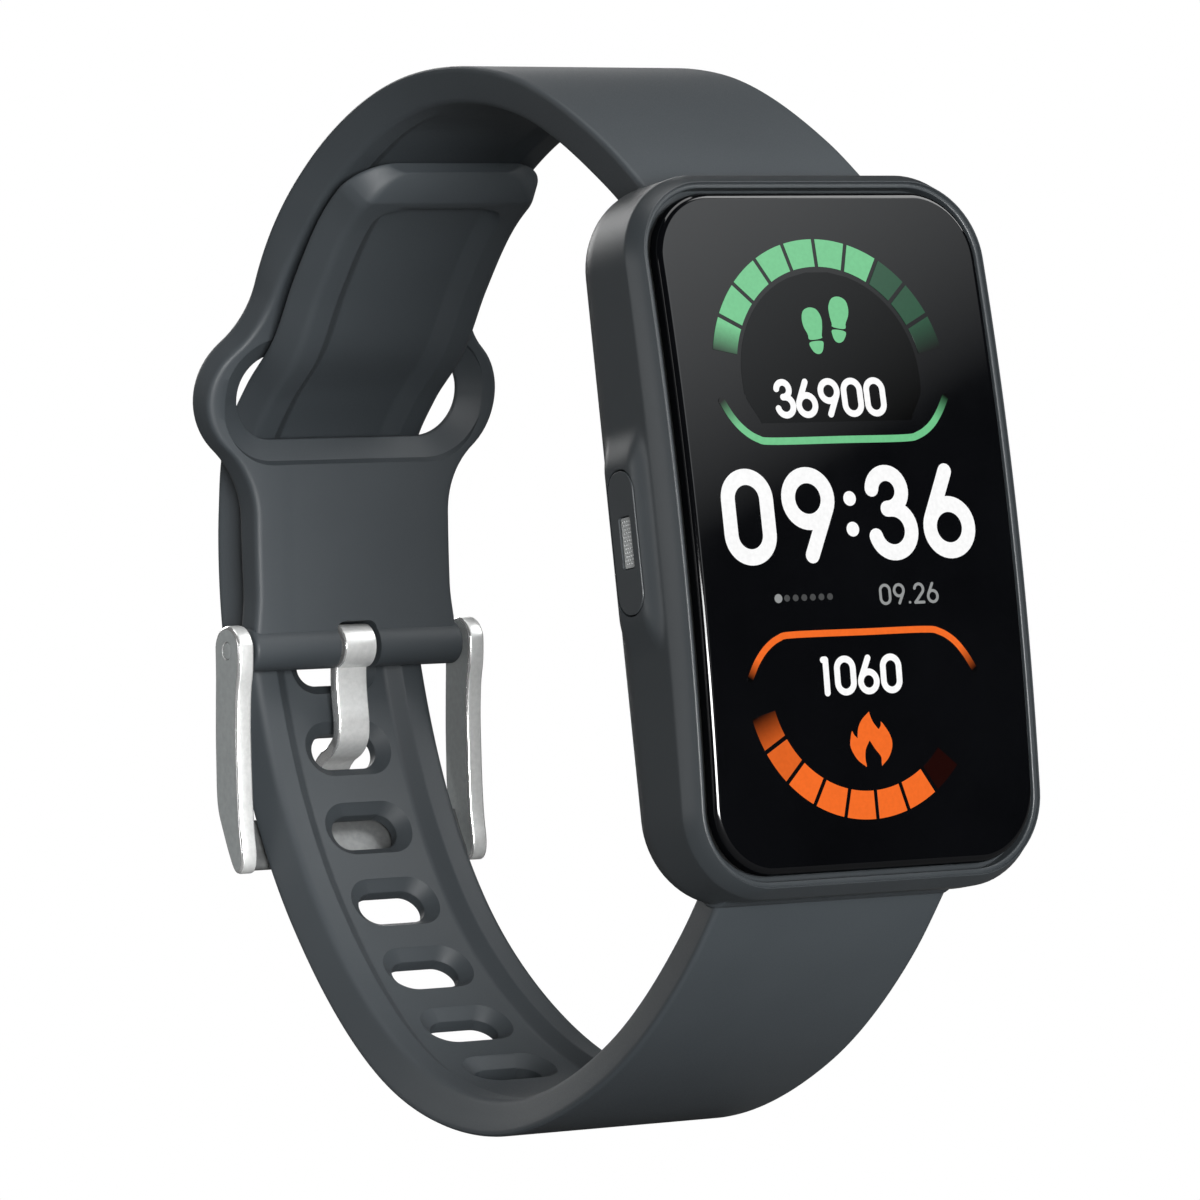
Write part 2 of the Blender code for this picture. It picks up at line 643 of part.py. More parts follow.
def add_motor():
    """The vibration motor and its off-centre weight, which spins on its end."""
    x, y = MOTOR
    add("vibration_motor", cylinder(MOTOR_RADIUS, (x, y, 0.5), (x, y, 8.2), 24), STEEL)
    spin = new_empty("motor_axis", (x, y, 0), DATUM)
    weight = add(
        "motor_weight", cylinder(WEIGHT_RADIUS, (x, y, 8.6), (x, y, 11.4), 24), STEEL, (x, y, 0), spin)
    far_side = box((x + WEIGHT_CUT, y - 3, 8), (x + 4, y + 3, 12))
    boolean(weight, add_cutter("weight_cut", far_side))


def add_button():
    axis = new_empty("button_axis", (-BUTTON_FACE, BUTTON_Y, 0), DATUM)
    origin = (-BUTTON_FACE, BUTTON_Y, 0)
    half_y, half_z = BUTTON_HALF

    def ring(x, less):
        outline = rounded_rectangle(half_y - less, half_z - less, BUTTON_CORNER - less, 5, 1)
        return [(-x, BUTTON_Y + y, z) for y, z in outline]

    button = add("side_button", loft([
        ring(12.2, 0.0), ring(BUTTON_FACE - 0.15, 0.0), ring(BUTTON_FACE, 0.15),
    ]), CASE_PLASTIC, origin, axis)
    pocket = box((-15, BUTTON_Y - 0.55, -1.45), (-BUTTON_FACE + 0.3, BUTTON_Y + 0.55, 1.45))
    boolean(button, add_cutter("inlay_pocket", pocket))
    stem = cylinder(0.6, (-12.5, BUTTON_Y, 0), (-11.25, BUTTON_Y, 0), 16)
    boolean(button, add_cutter("button_stem", stem), "UNION")
    inlay = box((-BUTTON_FACE - 0.05, BUTTON_Y - 0.5, -1.4), (-BUTTON_FACE + 0.25, BUTTON_Y + 0.5, 1.4))
    add("button_inlay", inlay, STEEL, origin, axis)
    seal = add("button_seal", cylinder(1.05, (-11.72, BUTTON_Y, 0), (-11.32, BUTTON_Y, 0), 20), SEAL)
    boolean(seal, add_cutter("seal_bore", cylinder(0.75, (-13, BUTTON_Y, 0), (-11, BUTTON_Y, 0), 16)))
    switch = add("tact_switch", box((-10.7, BUTTON_Y - 1.2, -1.3), (-9.45, BUTTON_Y + 1.4, 1.3)), CHIP)
    bevel(switch, 0.15)


def add_back():
    cover = add("back_cover", stack([
        (COVER_FRONT, 11.4, 17.0, 4.0, 0.0),
        (9.2, 11.0, 16.6, 3.8, 0.0),
        (9.7, 9.9, 15.4, 3.6, 0.0),
        (10.1, 7.9, 11.2, 4.2, 0.0),
        (10.9, 6.9, 9.2, 4.4, 0.0),
    ], side=2), CASE_PLASTIC)
    inside = stack([
        (8.0, 10.3, 15.8, 3.0, 0.0), (9.0, 10.1, 15.6, 3.0, 0.0), (9.3, 6.6, 9.0, 3.4, 0.0),
        (9.9, 6.2, 8.4, 3.4, 0.0),
    ], side=2)
    boolean(cover, add_cutter("cover_inside", inside))
    boolean(cover, add_cutter("window_seat", slab(10.2, 12, 5.3, 7.3, 3.8, side=2)))
    boolean(cover, add_cutter("window_light", slab(9, 12, 4.4, 6.4, 3.0, side=2)))
    seal = add("back_seal", slab(7.7, 8.25, 10.95, 16.45, 2.2, side=1), SEAL)
    boolean(seal, add_cutter("back_seal_inside", slab(6, 9, 10.45, 15.95, 1.8, side=1)))
    window = add("sensor_window", slab(10.45, 10.95, 5.0, 7.0, 3.5, side=1), LENS_GLASS)
    bevel(window, 0.15, 1)
    add("sensor_board", slab(7.8, 8.4, 4.2, 6.2, 1.5, side=1), BOARD)
    for name, x, z in (("heart_led_a", 0, 3.2), ("heart_led_b", 0, -3.2)):
        add(name, box((x - 0.9, 8.6, z - 0.6), (x + 0.9, 9.2, z + 0.6)), LED_RESIN)
    add("light_sensor", box((-1.4, 8.6, -1.3), (1.4, 9.2, 1.3)), CHIP)
    for name, x in (("charge_contact_a", -2.8), ("charge_contact_b", 2.8)):
        place = (x, -13.0)
        hole = cylinder(1.25, (x, 8, place[1]), (x, 12, place[1]), 20)
        boolean(cover, add_cutter(name + "_hole", hole))
        add(name, cylinder(0.95, (x, 8.7, place[1]), (x, 9.9, place[1]), 20), GOLD)


add_case_frame()
add_glass_and_display()
add_electronics()
add_button()
add_back()
add_strap_upper()
add_strap_lower()
add_spring_bar("upper", 1)
add_spring_bar("lower", -1)
add_buckle()
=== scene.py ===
import math

import bmesh
import bpy
import numpy as np
from mathutils import Matrix, Vector


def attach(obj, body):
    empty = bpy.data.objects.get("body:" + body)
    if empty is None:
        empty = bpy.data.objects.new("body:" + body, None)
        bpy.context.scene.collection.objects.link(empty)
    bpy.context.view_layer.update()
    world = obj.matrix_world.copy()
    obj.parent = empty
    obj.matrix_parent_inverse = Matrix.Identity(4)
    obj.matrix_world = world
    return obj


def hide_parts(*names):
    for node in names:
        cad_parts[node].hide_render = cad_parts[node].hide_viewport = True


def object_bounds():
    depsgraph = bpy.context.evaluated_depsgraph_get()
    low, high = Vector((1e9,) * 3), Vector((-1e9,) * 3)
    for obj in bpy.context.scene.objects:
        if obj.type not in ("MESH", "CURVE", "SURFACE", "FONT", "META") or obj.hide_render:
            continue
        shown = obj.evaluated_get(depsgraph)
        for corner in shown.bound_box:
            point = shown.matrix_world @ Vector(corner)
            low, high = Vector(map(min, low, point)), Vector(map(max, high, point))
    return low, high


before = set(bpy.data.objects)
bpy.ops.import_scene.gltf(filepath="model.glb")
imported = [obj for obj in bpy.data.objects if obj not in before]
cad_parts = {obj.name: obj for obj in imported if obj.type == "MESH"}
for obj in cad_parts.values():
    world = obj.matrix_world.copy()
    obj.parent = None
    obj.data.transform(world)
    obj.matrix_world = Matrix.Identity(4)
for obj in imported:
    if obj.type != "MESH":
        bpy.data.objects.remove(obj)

CAD_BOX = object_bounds()

# The case datum, as in the CAD source: X across the glass, Y into the case, Z along the strap.
# Shapes are drawn about it in millimetres.
LEAN = math.radians(10.7)
STAND = (0.45, -30.47, 39.515)
MM = 0.001
TO_FRAME = (
    Matrix.Translation(Vector(STAND) * MM) @ Matrix.Rotation(-LEAN, 4, "X") @ Matrix.Scale(MM, 4)
)

GLASS_HALF = (11.6, 20.5)
GLASS_CORNER = 4.2
GLASS_RADIUS = 190.0
CASE_HALF = (12.9, 21.8)
CASE_CORNER = 5.4
FRAME_BACK = 8.4
CAVITY_HALF = (11.2, 16.7)
LUG_INNER = 8.85
LUG_HOLE_RADIUS = 0.7
LUG_HOLE_DEPTH = 1.1
POCKET_FRONT = 4.4
POCKET_EDGE = 17.55
COVER_FRONT = 8.7
BAR_Y = 6.7
BAR_Z = 19.9
KNOB_X = 5.0
RELEASE_TRAVEL = 1.2
STRAP_WIDTH = 17.0
TAIL_WIDTH = 15.3
NECK_WIDTH = 15.4
BARREL_WIDTH = 16.1
EAR_WIDTH = 22.7
EAR_ROUND = 4.7
EAR_FILLET = 6.0
SIDE_SLOPE = 1.2
EAR_SLOPE = 0.2
TIP_CORNER = 3.0
TIP_SLOPE = 1.9
TIP_EDGE = 0.7
RIM_WIDTH = 1.6
EYE_RADIUS = 2.0
EYE_BORE = 1.05
UPPER_ROUTE = [
    (6.7, 19.9), (11.4, 24.2), (21.3, 30.5), (33.5, 32.7), (44.8, 29.8),
    (53.2, 23.7), (57.0, 17.3), (58.7, 8.8), (59.7, 0.6),
]
LOWER_ROUTE = [
    (6.7, -19.9), (11.4, -24.1), (20.9, -29.8), (34.3, -32.4), (45.0, -29.3), (53.7, -22.3),
    (57.6, -16.9), (60.1, -11.6), (61.8, -5.7), (62.65, 0.6), (62.6, 5.4), (61.8, 10.1),
    (60.3, 14.3), (57.0, 17.2), (52.9, 19.6), (49.3, 23.2), (45.0, 26.7), (40.2, 28.9),
]
KEEPER_Z = 17.2
KEEPER_NECK = (8.55, 2.9)
KEEPER_FACE = (9.9, 4.0)
HOLE_NECK = (2.45, 1.25)
HOLE_FACE = (3.25, 1.85)
HOLE_PITCH = 5.85
HOLE_COUNT = 7
PIVOT = (59.7, 0.6)
BARREL_RADIUS = 1.45
PIN_RADIUS = 0.55
PIN_BORE = 0.8
NOTCH_HALF = 1.55
NOTCH_TOP = 1.56
PRONG_HALF = 1.25
ARM_INNER = 8.35
ARM_OUTER = 9.55
BUTTON_Y = 4.55
BUTTON_HALF = (1.35, 4.3)
BUTTON_CORNER = 1.25
BOSS_FACE = 13.5
BUTTON_FACE = 13.5
KEY_EDGE = 0.06
GRIP_Y = 4.4
GRIP_HALF = (0.55, 1.5)
GRIP_GAP = 0.09
GRIP_DEPTH = 0.32
DOT_PITCH = (0.24, 0.23)
DOT_RADIUS = 0.075
KEY_ROOT = 12.2
KEY_GAP = 0.11
PLUNGER_RADIUS = 0.6
PLUNGER_ENDS = (-12.5, -11.25)
SLOT_MARGIN = 0.8
SLOT_HALF = 0.75
CONTACT_X = 2.8
CONTACT_Z = -13.0
CONTACT_HOLE = 1.25
ARM_EDGE = 0.22
PRONG_EDGE = 0.2


# Materials. Texture scales are per metre, read in each piece's own coordinates.

def shader_of(name):
    made = bpy.data.materials.new(name)
    made.use_nodes = True
    return made, made.node_tree, made.node_tree.nodes["Principled BSDF"]


def node_of(tree, kind, **values):
    """A new node, with its input sockets set by name."""
    made = tree.nodes.new("ShaderNode" + kind)
    for socket, value in values.items():
        made.inputs[socket.replace("_", " ")].default_value = value
    return made


def noise(tree, scale, detail=2.0, rough=0.5):
    place = node_of(tree, "TexCoord")
    made = node_of(tree, "TexNoise", Scale=scale, Detail=detail, Roughness=rough)
    tree.links.new(place.outputs["Object"], made.inputs["Vector"])
    return made.outputs["Fac"]


def remap(tree, value, low, high, from_low=0.3, from_high=0.7):
    made = node_of(tree, "MapRange", From_Min=from_low, From_Max=from_high, To_Min=low, To_Max=high)
    tree.links.new(value, made.inputs["Value"])
    return made.outputs["Result"]


def distance_along(tree, way):
    """How far a point lies along way, in the piece's own coordinates."""
    place = node_of(tree, "TexCoord")
    along = tree.nodes.new("ShaderNodeVectorMath")
    along.operation = "DOT_PRODUCT"
    along.inputs[1].default_value = way
    tree.links.new(place.outputs["Object"], along.inputs[0])
    return along.outputs["Value"]


def white_to_camera(tree, shade, seen, surface):
    """What the camera sees directly is seen; every other ray gets shade."""
    path = node_of(tree, "LightPath")
    mix = node_of(tree, "MixShader")
    tree.links.new(path.outputs["Is Camera Ray"], mix.inputs["Fac"])
    tree.links.new(shade, mix.inputs[1])
    tree.links.new(seen, mix.inputs[2])
    tree.links.new(mix.outputs["Shader"], surface)


def blend_colours(tree, value, one, two):
    made = tree.nodes.new("ShaderNodeMix")
    made.data_type = "RGBA"
    made.inputs["A"].default_value = (*one, 1.0)
    made.inputs["B"].default_value = (*two, 1.0)
    tree.links.new(value, made.inputs["Factor"])
    return made.outputs["Result"]


def bump(tree, shader, height, strength, distance):
    made = node_of(tree, "Bump", Strength=strength, Distance=distance)
    tree.links.new(height, made.inputs["Height"])
    tree.links.new(made.outputs["Normal"], shader.inputs["Normal"])


def grained(name, dark, light, roughness, metallic=0.0, grain=9000.0, patch=260.0,
            depth=0.00001, strength=0.25, **extra):
    """A moulded, cast or blasted surface: slow colour drift, fine grain in gloss and height."""
    made, tree, shader = shader_of(name)
    fine = noise(tree, grain, 3.0, 0.6)
    slow = noise(tree, patch, 3.0, 0.55)
    tree.links.new(blend_colours(tree, remap(tree, slow, 0.0, 1.0), dark, light),
                   shader.inputs["Base Color"])
    tree.links.new(remap(tree, fine, roughness[0], roughness[1]), shader.inputs["Roughness"])
    shader.inputs["Metallic"].default_value = metallic
    for socket, value in extra.items():
        shader.inputs[socket.replace("_", " ")].default_value = value
    bump(tree, shader, fine, strength, depth)
    return made


SILICONE = grained("silicone_rubber", (0.031, 0.037, 0.042), (0.035, 0.0415, 0.0465), (0.50, 0.64),
                   grain=14000.0, patch=90.0, strength=0.16, Specular_IOR_Level=0.42)
CASE = grained("matt_case_plastic", (0.0215, 0.0255, 0.0285), (0.0245, 0.0285, 0.0315), (0.36, 0.46),
               grain=16000.0, patch=120.0, strength=0.12)
BUTTON = grained("button_plastic", (0.030, 0.034, 0.037), (0.034, 0.038, 0.041), (0.34, 0.44),
                 grain=16000.0, patch=160.0, strength=0.12)
STEEL = grained("blasted_steel", (0.74, 0.75, 0.74), (0.84, 0.845, 0.835), (0.30, 0.46), 0.6,
                grain=6500.0, patch=3000.0, depth=0.00002, strength=0.35)
POLISHED = grained("polished_steel", (0.80, 0.80, 0.795), (0.86, 0.86, 0.855), (0.12, 0.2), 0.8,
                   grain=5000.0, patch=900.0, strength=0.05)
# Rougher brushed steel for the flat sides, its colour darkened as painted shade on faces that point
# sideways.
PAINTED_SHADE_SIDE_STEEL = grained("brushed_painted_shade_side_steel", (0.30, 0.32, 0.32), (0.35, 0.37, 0.37), (0.50, 0.62),
                     0.25, grain=9000.0, patch=2500.0, strength=0.25)
# The crossbar is the arms' steel with its colour darkened as painted shade, where it sits between the
# arms.
SHADED_STEEL = grained("crossbar_painted_shade_steel", (0.12, 0.125, 0.125), (0.16, 0.165, 0.165), (0.35, 0.5), 0.5,
                       grain=9000.0, patch=2500.0, strength=0.25)
SEAL = grained("seal_rubber", (0.016, 0.016, 0.016), (0.024, 0.024, 0.024), (0.65, 0.8))
BOARD = grained("circuit_board", (0.012, 0.075, 0.04), (0.02, 0.11, 0.06), (0.35, 0.5), grain=4000.0,
                patch=900.0)
CHIP = grained("chip_resin", (0.022, 0.022, 0.024), (0.034, 0.034, 0.036), (0.4, 0.55))
FOIL = grained("cell_foil", (0.5, 0.51, 0.53), (0.6, 0.61, 0.63), (0.3, 0.45), 1.0, grain=2500.0,
               strength=0.4)
FLEX = grained("flex_film", (0.38, 0.17, 0.04), (0.5, 0.25, 0.07), (0.35, 0.5))
LED = grained("led_resin", (0.16, 0.7, 0.3), (0.24, 0.8, 0.4), (0.2, 0.32))
GOLD = grained("gold_contact", (0.8, 0.57, 0.24), (0.88, 0.66, 0.31), (0.2, 0.32), 1.0, grain=5000.0)
SCREEN = grained("display_stack", (0.006, 0.006, 0.008), (0.012, 0.012, 0.014), (0.15, 0.25))
COVER = grained("back_cover_plastic", (0.018, 0.02, 0.022), (0.022, 0.025, 0.027), (0.30, 0.42),
                grain=15000.0, patch=120.0, strength=0.12)
KEY_GRIP = grained("key_grip_metal", (0.26, 0.27, 0.27), (0.38, 0.39, 0.39), (0.4, 0.6), 0.3,
                   grain=8000.0)


def glass_material(name, tint):
    """Coated cover glass over black print, with a faint uneven film on it."""
    made, tree, shader = shader_of(name)
    film = noise(tree, 140.0, 4.0, 0.6)
    tree.links.new(blend_colours(tree, remap(tree, film, 0.0, 1.0), tint, tuple(1.4 * c for c in tint)),
                   shader.inputs["Base Color"])
    tree.links.new(remap(tree, film, 0.045, 0.085), shader.inputs["Roughness"])
    shader.inputs["IOR"].default_value = 1.48
    return made


GLASS = glass_material("cover_glass", (0.0012, 0.0013, 0.0016))
WINDOW = glass_material("sensor_glass", (0.010, 0.004, 0.005))


def lit(name, colour, strength=1.0, fade=None, index=1.48):
    """A lit part of the display under the glass. fade is (start, end) in the case datum's
    millimetres: the light goes out from start to end along the line between them."""
    made, tree, shader = shader_of(name)
    shader.inputs["Base Color"].default_value = (0.001, 0.001, 0.001, 1.0)
    shader.inputs["Roughness"].default_value = 0.06
    shader.inputs["IOR"].default_value = index
    pixels = noise(tree, 4200.0, 1.0)
    light = blend_colours(tree, remap(tree, pixels, 0.0, 1.0), tuple(0.93 * c for c in colour), colour)
    tree.links.new(light, shader.inputs["Emission Color"])
    shader.inputs["Emission Strength"].default_value = strength
    if fade:
        start, end = (TO_FRAME @ Vector((x, 0, z)) for x, z in fade)
        way = end - start
        reach = start.dot(way) / way.length
        along = distance_along(tree, way / way.length)
        tree.links.new(remap(tree, along, strength, 0.0, reach, reach + way.length),
                       shader.inputs["Emission Strength"])
    return made


# Building meshes.

def piece(name, bm, material, body="root", replaces=(), angle=32, weighted=True):
    """A shown piece from a bmesh drawn about the case datum."""
    made = mesh_object(name, bm, angle)
    for each in material if isinstance(material, (list, tuple)) else [material]:
        made.data.materials.append(each)
    return finish_piece(made, body, replaces, weighted)


def mesh_object(name, bm, angle=32):
    bm.normal_update()
    bmesh.ops.recalc_face_normals(bm, faces=bm.faces)
    bm.transform(TO_FRAME)
    mesh = bpy.data.meshes.new(name)
    bm.to_mesh(mesh)
    bm.free()
    mesh.shade_smooth()
    mesh.set_sharp_from_angle(angle=math.radians(angle))
    made = bpy.data.objects.new(name, mesh)
    bpy.context.scene.collection.objects.link(made)
    return made


def finish_piece(made, body, replaces, weighted=True):
    if weighted:
        even = made.modifiers.new("even shading", "WEIGHTED_NORMAL")
        even.keep_sharp = True
        even.weight = 80
    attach(made, body)
    if replaces:
        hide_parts(*replaces)
    return made


def carve(name, base, steps, angle=32):
    """base with each (operation, bmesh) of steps applied in turn."""
    whole = mesh_object(name, base, angle)
    others = []
    for k, (operation, bm) in enumerate(steps):
        other = mesh_object(f"{name}_step_{k}", bm)
        others.append(other)
        modifier = whole.modifiers.new(other.name, "BOOLEAN")
        modifier.operation = operation
        modifier.solver = "EXACT"
        modifier.object = other
    bpy.context.view_layer.update()
    graph = bpy.context.evaluated_depsgraph_get()
    cut = bpy.data.meshes.new_from_object(whole.evaluated_get(graph))
    whole.modifiers.clear()
    old = whole.data
    whole.data = cut
    bpy.data.meshes.remove(old)
    cut.name = name
    for other in others:
        bpy.data.objects.remove(other)
    cut.materials.clear()
    cut.shade_smooth()
    cut.set_sharp_from_angle(angle=math.radians(angle))
    return whole


def join_rings(bm, rings):
    count = len(rings[0])
    for one, two in zip(rings, rings[1:]):
        for k in range(count):
            bm.faces.new((one[k], one[(k + 1) % count], two[(k + 1) % count], two[k]))


def loft(sections):
    bm = bmesh.new()
    rings = [[bm.verts.new(point) for point in section] for section in sections]
    join_rings(bm, rings)
    bm.faces.new(rings[0])
    bm.faces.new(list(reversed(rings[-1])))
    return bm


def box(low, high):
    bm = bmesh.new()
    bmesh.ops.create_cube(bm, size=1.0)
    low, high = Vector(low), Vector(high)
    bm.transform(Matrix.Translation((low + high) / 2) @ Matrix.Diagonal((*(high - low), 1)))
    return bm


def arc(middle, radius, start, stop, steps=24):
    """Points on an arc, with its angles in degrees."""
    angles = np.radians(np.linspace(start, stop, steps + 1))
    return [(middle[0] + radius * math.cos(a), middle[1] + radius * math.sin(a)) for a in angles]


def circle(middle, radius, steps):
    return arc(middle, radius, 0, 360, steps)[:-1]


def turned(profile, centre, sides=48):
    """A body turned about X through centre (y, z), from a profile of (x, radius)."""
    return loft([[(x, y, z) for y, z in circle(centre, radius, sides)] for x, radius in profile])


def bar(radius, x0, x1, centre, sides=40):
    return turned([(x0, radius), (x1, radius)], centre, sides)


def rounded_bar(radius, x0, x1, centre, edge, sides=64):
    """A bar along X with rounded ends."""
    angles = [math.pi / 2 * k / 5 for k in range(6)]
    profile = []
    for a in angles:
        into, down = edge * (1 - math.sin(a)), radius - edge * (1 - math.cos(a))
        profile += [(x0 + into, down), (x1 - into, down)]
    return turned(sorted(profile), centre, sides)


def rounded_rectangle(half_a, half_b, corner, arc=14, side=1):
    points = []
    for k, (sign_a, sign_b) in enumerate([(1, 1), (-1, 1), (-1, -1), (1, -1)]):
        middle = (sign_a * (half_a - corner), sign_b * (half_b - corner))
        for step in range(arc + 1):
            angle = math.pi / 2 * (k + step / arc)
            points.append((middle[0] + corner * math.cos(angle), middle[1] + corner * math.sin(angle)))
        if k in (1, 3):
            for step in range(1, side):
                points.append((sign_a * half_a, sign_b * (half_b - corner) * (1 - 2 * step / side)))
    return points


def sag(z):
    return GLASS_RADIUS - math.sqrt(GLASS_RADIUS**2 - z * z)


def smooth_step(value, low, high):
    t = min(max((value - low) / (high - low), 0.0), 1.0)
    return t * t * (3 - 2 * t)


def stack(levels, arc=14, side=60, push=None):
    """A loft along Y. A level is (y, half x, half z, corner, share of the glass's curve)."""
    bm = bmesh.new()
    rings = []
    for y, half_x, half_z, corner, share in levels:
        ring = []
        for x, z in rounded_rectangle(half_x, half_z, corner, arc, side):
            out = push(x, y, z) if push else 0.0
            ring.append(bm.verts.new((x - out, y + share * sag(z), z)))
        rings.append(ring)
    join_rings(bm, rings)
    for ring in (rings[0], rings[-1]):
        pairs = [(ring[arc - k], ring[(arc + 1 + k) % len(ring)]) for k in range(len(ring) // 2)]
        for one, two in zip(pairs, pairs[1:]):
            bm.faces.new((*one, *reversed(two)))
    return bm


def slab(y0, y1, half_x, half_z, corner, share=0.0, **steps):
    return stack([(y0, half_x, half_z, corner, share), (y1, half_x, half_z, corner, share)], **steps)


def rounded_corners(corners, cuts, steps=6, spans=None):
    """A closed outline through corners, each rounded over a cut length along its edges."""
    count = len(corners)
    points = np.array(corners, float)
    arcs = []
    for k in range(count):
        before, here, after = points[k - 1], points[k], points[(k + 1) % count]
        back, ahead = before - here, after - here
        cut = min(cuts[k], 0.46 * np.linalg.norm(back), 0.46 * np.linalg.norm(ahead))
        start = here + back / np.linalg.norm(back) * cut
        end = here + ahead / np.linalg.norm(ahead) * cut
        arcs.append([
            (1 - u) ** 2 * start + 2 * u * (1 - u) * here + u * u * end
            for u in np.linspace(0, 1, steps + 1)
        ])
    outline = []
    for k in range(count):
        outline += arcs[k]
        pieces_here = spans[k] if spans else 1
        start, end = arcs[k][-1], arcs[(k + 1) % count][0]
        for step in range(1, pieces_here):
            outline.append(start + (end - start) * step / pieces_here)
    return outline


# Straps.

class Route:
    """A smooth path through points (y, z), measured by the length s along it."""

    def __init__(self, points, side):
        knots = np.array(points, float)
        gaps = np.linalg.norm(np.diff(knots, axis=0), axis=1)
        times = np.concatenate([[0], np.cumsum(gaps)])
        slopes = np.gradient(knots, times, axis=0)
        dense = []
        for k, gap in enumerate(gaps):
            for u in np.linspace(0, 1, 60, endpoint=False):
                blend = (
                    2 * u**3 - 3 * u**2 + 1, u**3 - 2 * u**2 + u, 3 * u**2 - 2 * u**3, u**3 - u**2,
                )
                dense.append(
                    blend[0] * knots[k] + blend[1] * gap * slopes[k]
                    + blend[2] * knots[k + 1] + blend[3] * gap * slopes[k + 1]
                )
        dense.append(knots[-1])
        self.path = np.array(dense)
        steps = np.linalg.norm(np.diff(self.path, axis=0), axis=1)
        self.s = np.concatenate([[0], np.cumsum(steps)])
        self.length = self.s[-1]
        self.side = side

    def at(self, s):
        ahead, behind = min(s + 0.4, self.length), max(s - 0.4, 0)
        point = np.array([np.interp(s, self.s, self.path[:, k]) for k in (0, 1)])
        along = np.array([
            np.interp(ahead, self.s, self.path[:, k]) - np.interp(behind, self.s, self.path[:, k])
            for k in (0, 1)
        ])
        along /= np.linalg.norm(along)
        return point, along, self.side * np.array([-along[1], along[0]])

    def nearest(self, y, z):
        return self.s[np.argmin(np.linalg.norm(self.path - (y, z), axis=1))]

    def place(self, s, x, along, out):
        point, forward, outward = self.at(s)
        y, z = point + along * forward + out * outward
        return (x, y, z)


UPPER = Route(UPPER_ROUTE, 1)
LOWER = Route(LOWER_ROUTE, -1)
S_KEEPER = UPPER.nearest(57.1, KEEPER_Z)
S_HOLE = LOWER.nearest(61.65, -6.15)


def rounded_end(s, length, corner):
    """How far an edge has drawn in at s, for a corner that ends at length."""
    into = min(s - (length - corner), corner)
    return corner - math.sqrt(corner**2 - into**2) if into > 0 else 0.0


def strap_section(route, s, width, thickness, channel, slope, drop=0.0, shrink=0.0):
    """A strap's cross-section: outer face with rounded edges, sides that lean in, flat rims and
    a channel. drop thins the strap from its inner face, and shrink narrows the channel."""
    half, top, inner = width / 2, thickness / 2, drop - thickness / 2
    rim = min(half - slope - RIM_WIDTH, 5.6) - shrink
    floor_half = rim - 0.95
    right = [(half, top), (half - slope, inner), (rim, inner), (floor_half, inner + channel)]
    cuts = [0.5, 0.45, 0.1, 0.2]
    corners = right + [(-x, out) for x, out in reversed(right)]
    outline = rounded_corners(
        corners, cuts + cuts[::-1], 5, [3, 2, 2, 8, 2, 2, 3, 12])
    return [route.place(s, x, 0, out) for x, out in outline]


def upper_width(s):
    narrow = smooth_step(s, S_KEEPER - 16, S_KEEPER + 4)
    flare = smooth_step(s, UPPER.length - 4, UPPER.length)
    width = STRAP_WIDTH + (NECK_WIDTH - STRAP_WIDTH) * narrow + (BARREL_WIDTH - NECK_WIDTH) * flare
    return 2 * ear_edge(abs(s - S_KEEPER), width / 2)


def ear_edge(along, half):
    """The half width where the strap's straight edge runs into a round ear through a fillet."""
    middle = EAR_WIDTH / 2 - EAR_ROUND
    reach = math.sqrt((EAR_ROUND + EAR_FILLET) ** 2 - (half + EAR_FILLET - middle) ** 2)
    if along >= reach:
        return half
    if along > reach * EAR_ROUND / (EAR_ROUND + EAR_FILLET):
        return half + EAR_FILLET - math.sqrt(EAR_FILLET**2 - (reach - along) ** 2)
    return middle + math.sqrt(EAR_ROUND**2 - along**2)


def upper_slope(s):
    return SIDE_SLOPE + (EAR_SLOPE - SIDE_SLOPE) * smooth_step(s, S_KEEPER - 14, S_KEEPER - 4)


def upper_levels(s):
    """The upper strap's thickness and channel depth at s."""
    thickness = 3.3 - 1.1 * smooth_step(s, 2, 30) - 0.2 * smooth_step(s, S_KEEPER + 4, UPPER.length)
    channel = 0.03 + 0.45 * smooth_step(s, 30, 36) * (1 - smooth_step(s, S_KEEPER - 12, S_KEEPER - 7))
    return thickness, channel


def lower_width(s):
    narrow = smooth_step(s, S_HOLE - 36, S_HOLE - 12)
    width = STRAP_WIDTH + (TAIL_WIDTH - STRAP_WIDTH) * narrow
    return width - 2 * rounded_end(s, LOWER.length, TIP_CORNER)


def lower_levels(s):
    thickness = 3.3 - 1.0 * smooth_step(s, 2, 30) - 0.4 * smooth_step(s, S_HOLE + 2, S_HOLE + 14)
    channel = 0.03 + 0.72 * smooth_step(s, S_HOLE - 42, S_HOLE - 34)
    return thickness, channel


def funnel(route, s, neck, face, levels):
    """A stadium-shaped cutter that widens from neck (0) to face (1). A level is (distance out
    from the strap's middle surface, share of the way from neck to face)."""
    sections = []
    for out, share in levels:
        half_x, half_s = (n + (f - n) * share for n, f in zip(neck, face))
        ring = rounded_rectangle(half_x, half_s, half_s * 0.985, 14, 1)
        sections.append([route.place(s, x, a, out) for x, a in ring])
    return loft(sections)


def strap_eye(end):
    centre = (BAR_Y, end * BAR_Z)
    slot_low = (-KNOB_X - SLOT_MARGIN, BAR_Y, end * BAR_Z - SLOT_HALF)
    slot_high = (-KNOB_X + RELEASE_TRAVEL + SLOT_MARGIN, BAR_Y + 9, end * BAR_Z + SLOT_HALF)
    return (
        ("UNION", rounded_bar(EYE_RADIUS, -8.5, 8.5, centre, 0.35)),
        ("DIFFERENCE", bar(EYE_BORE, -10, 10, centre)),
        ("DIFFERENCE", box(slot_low, slot_high)),
    )


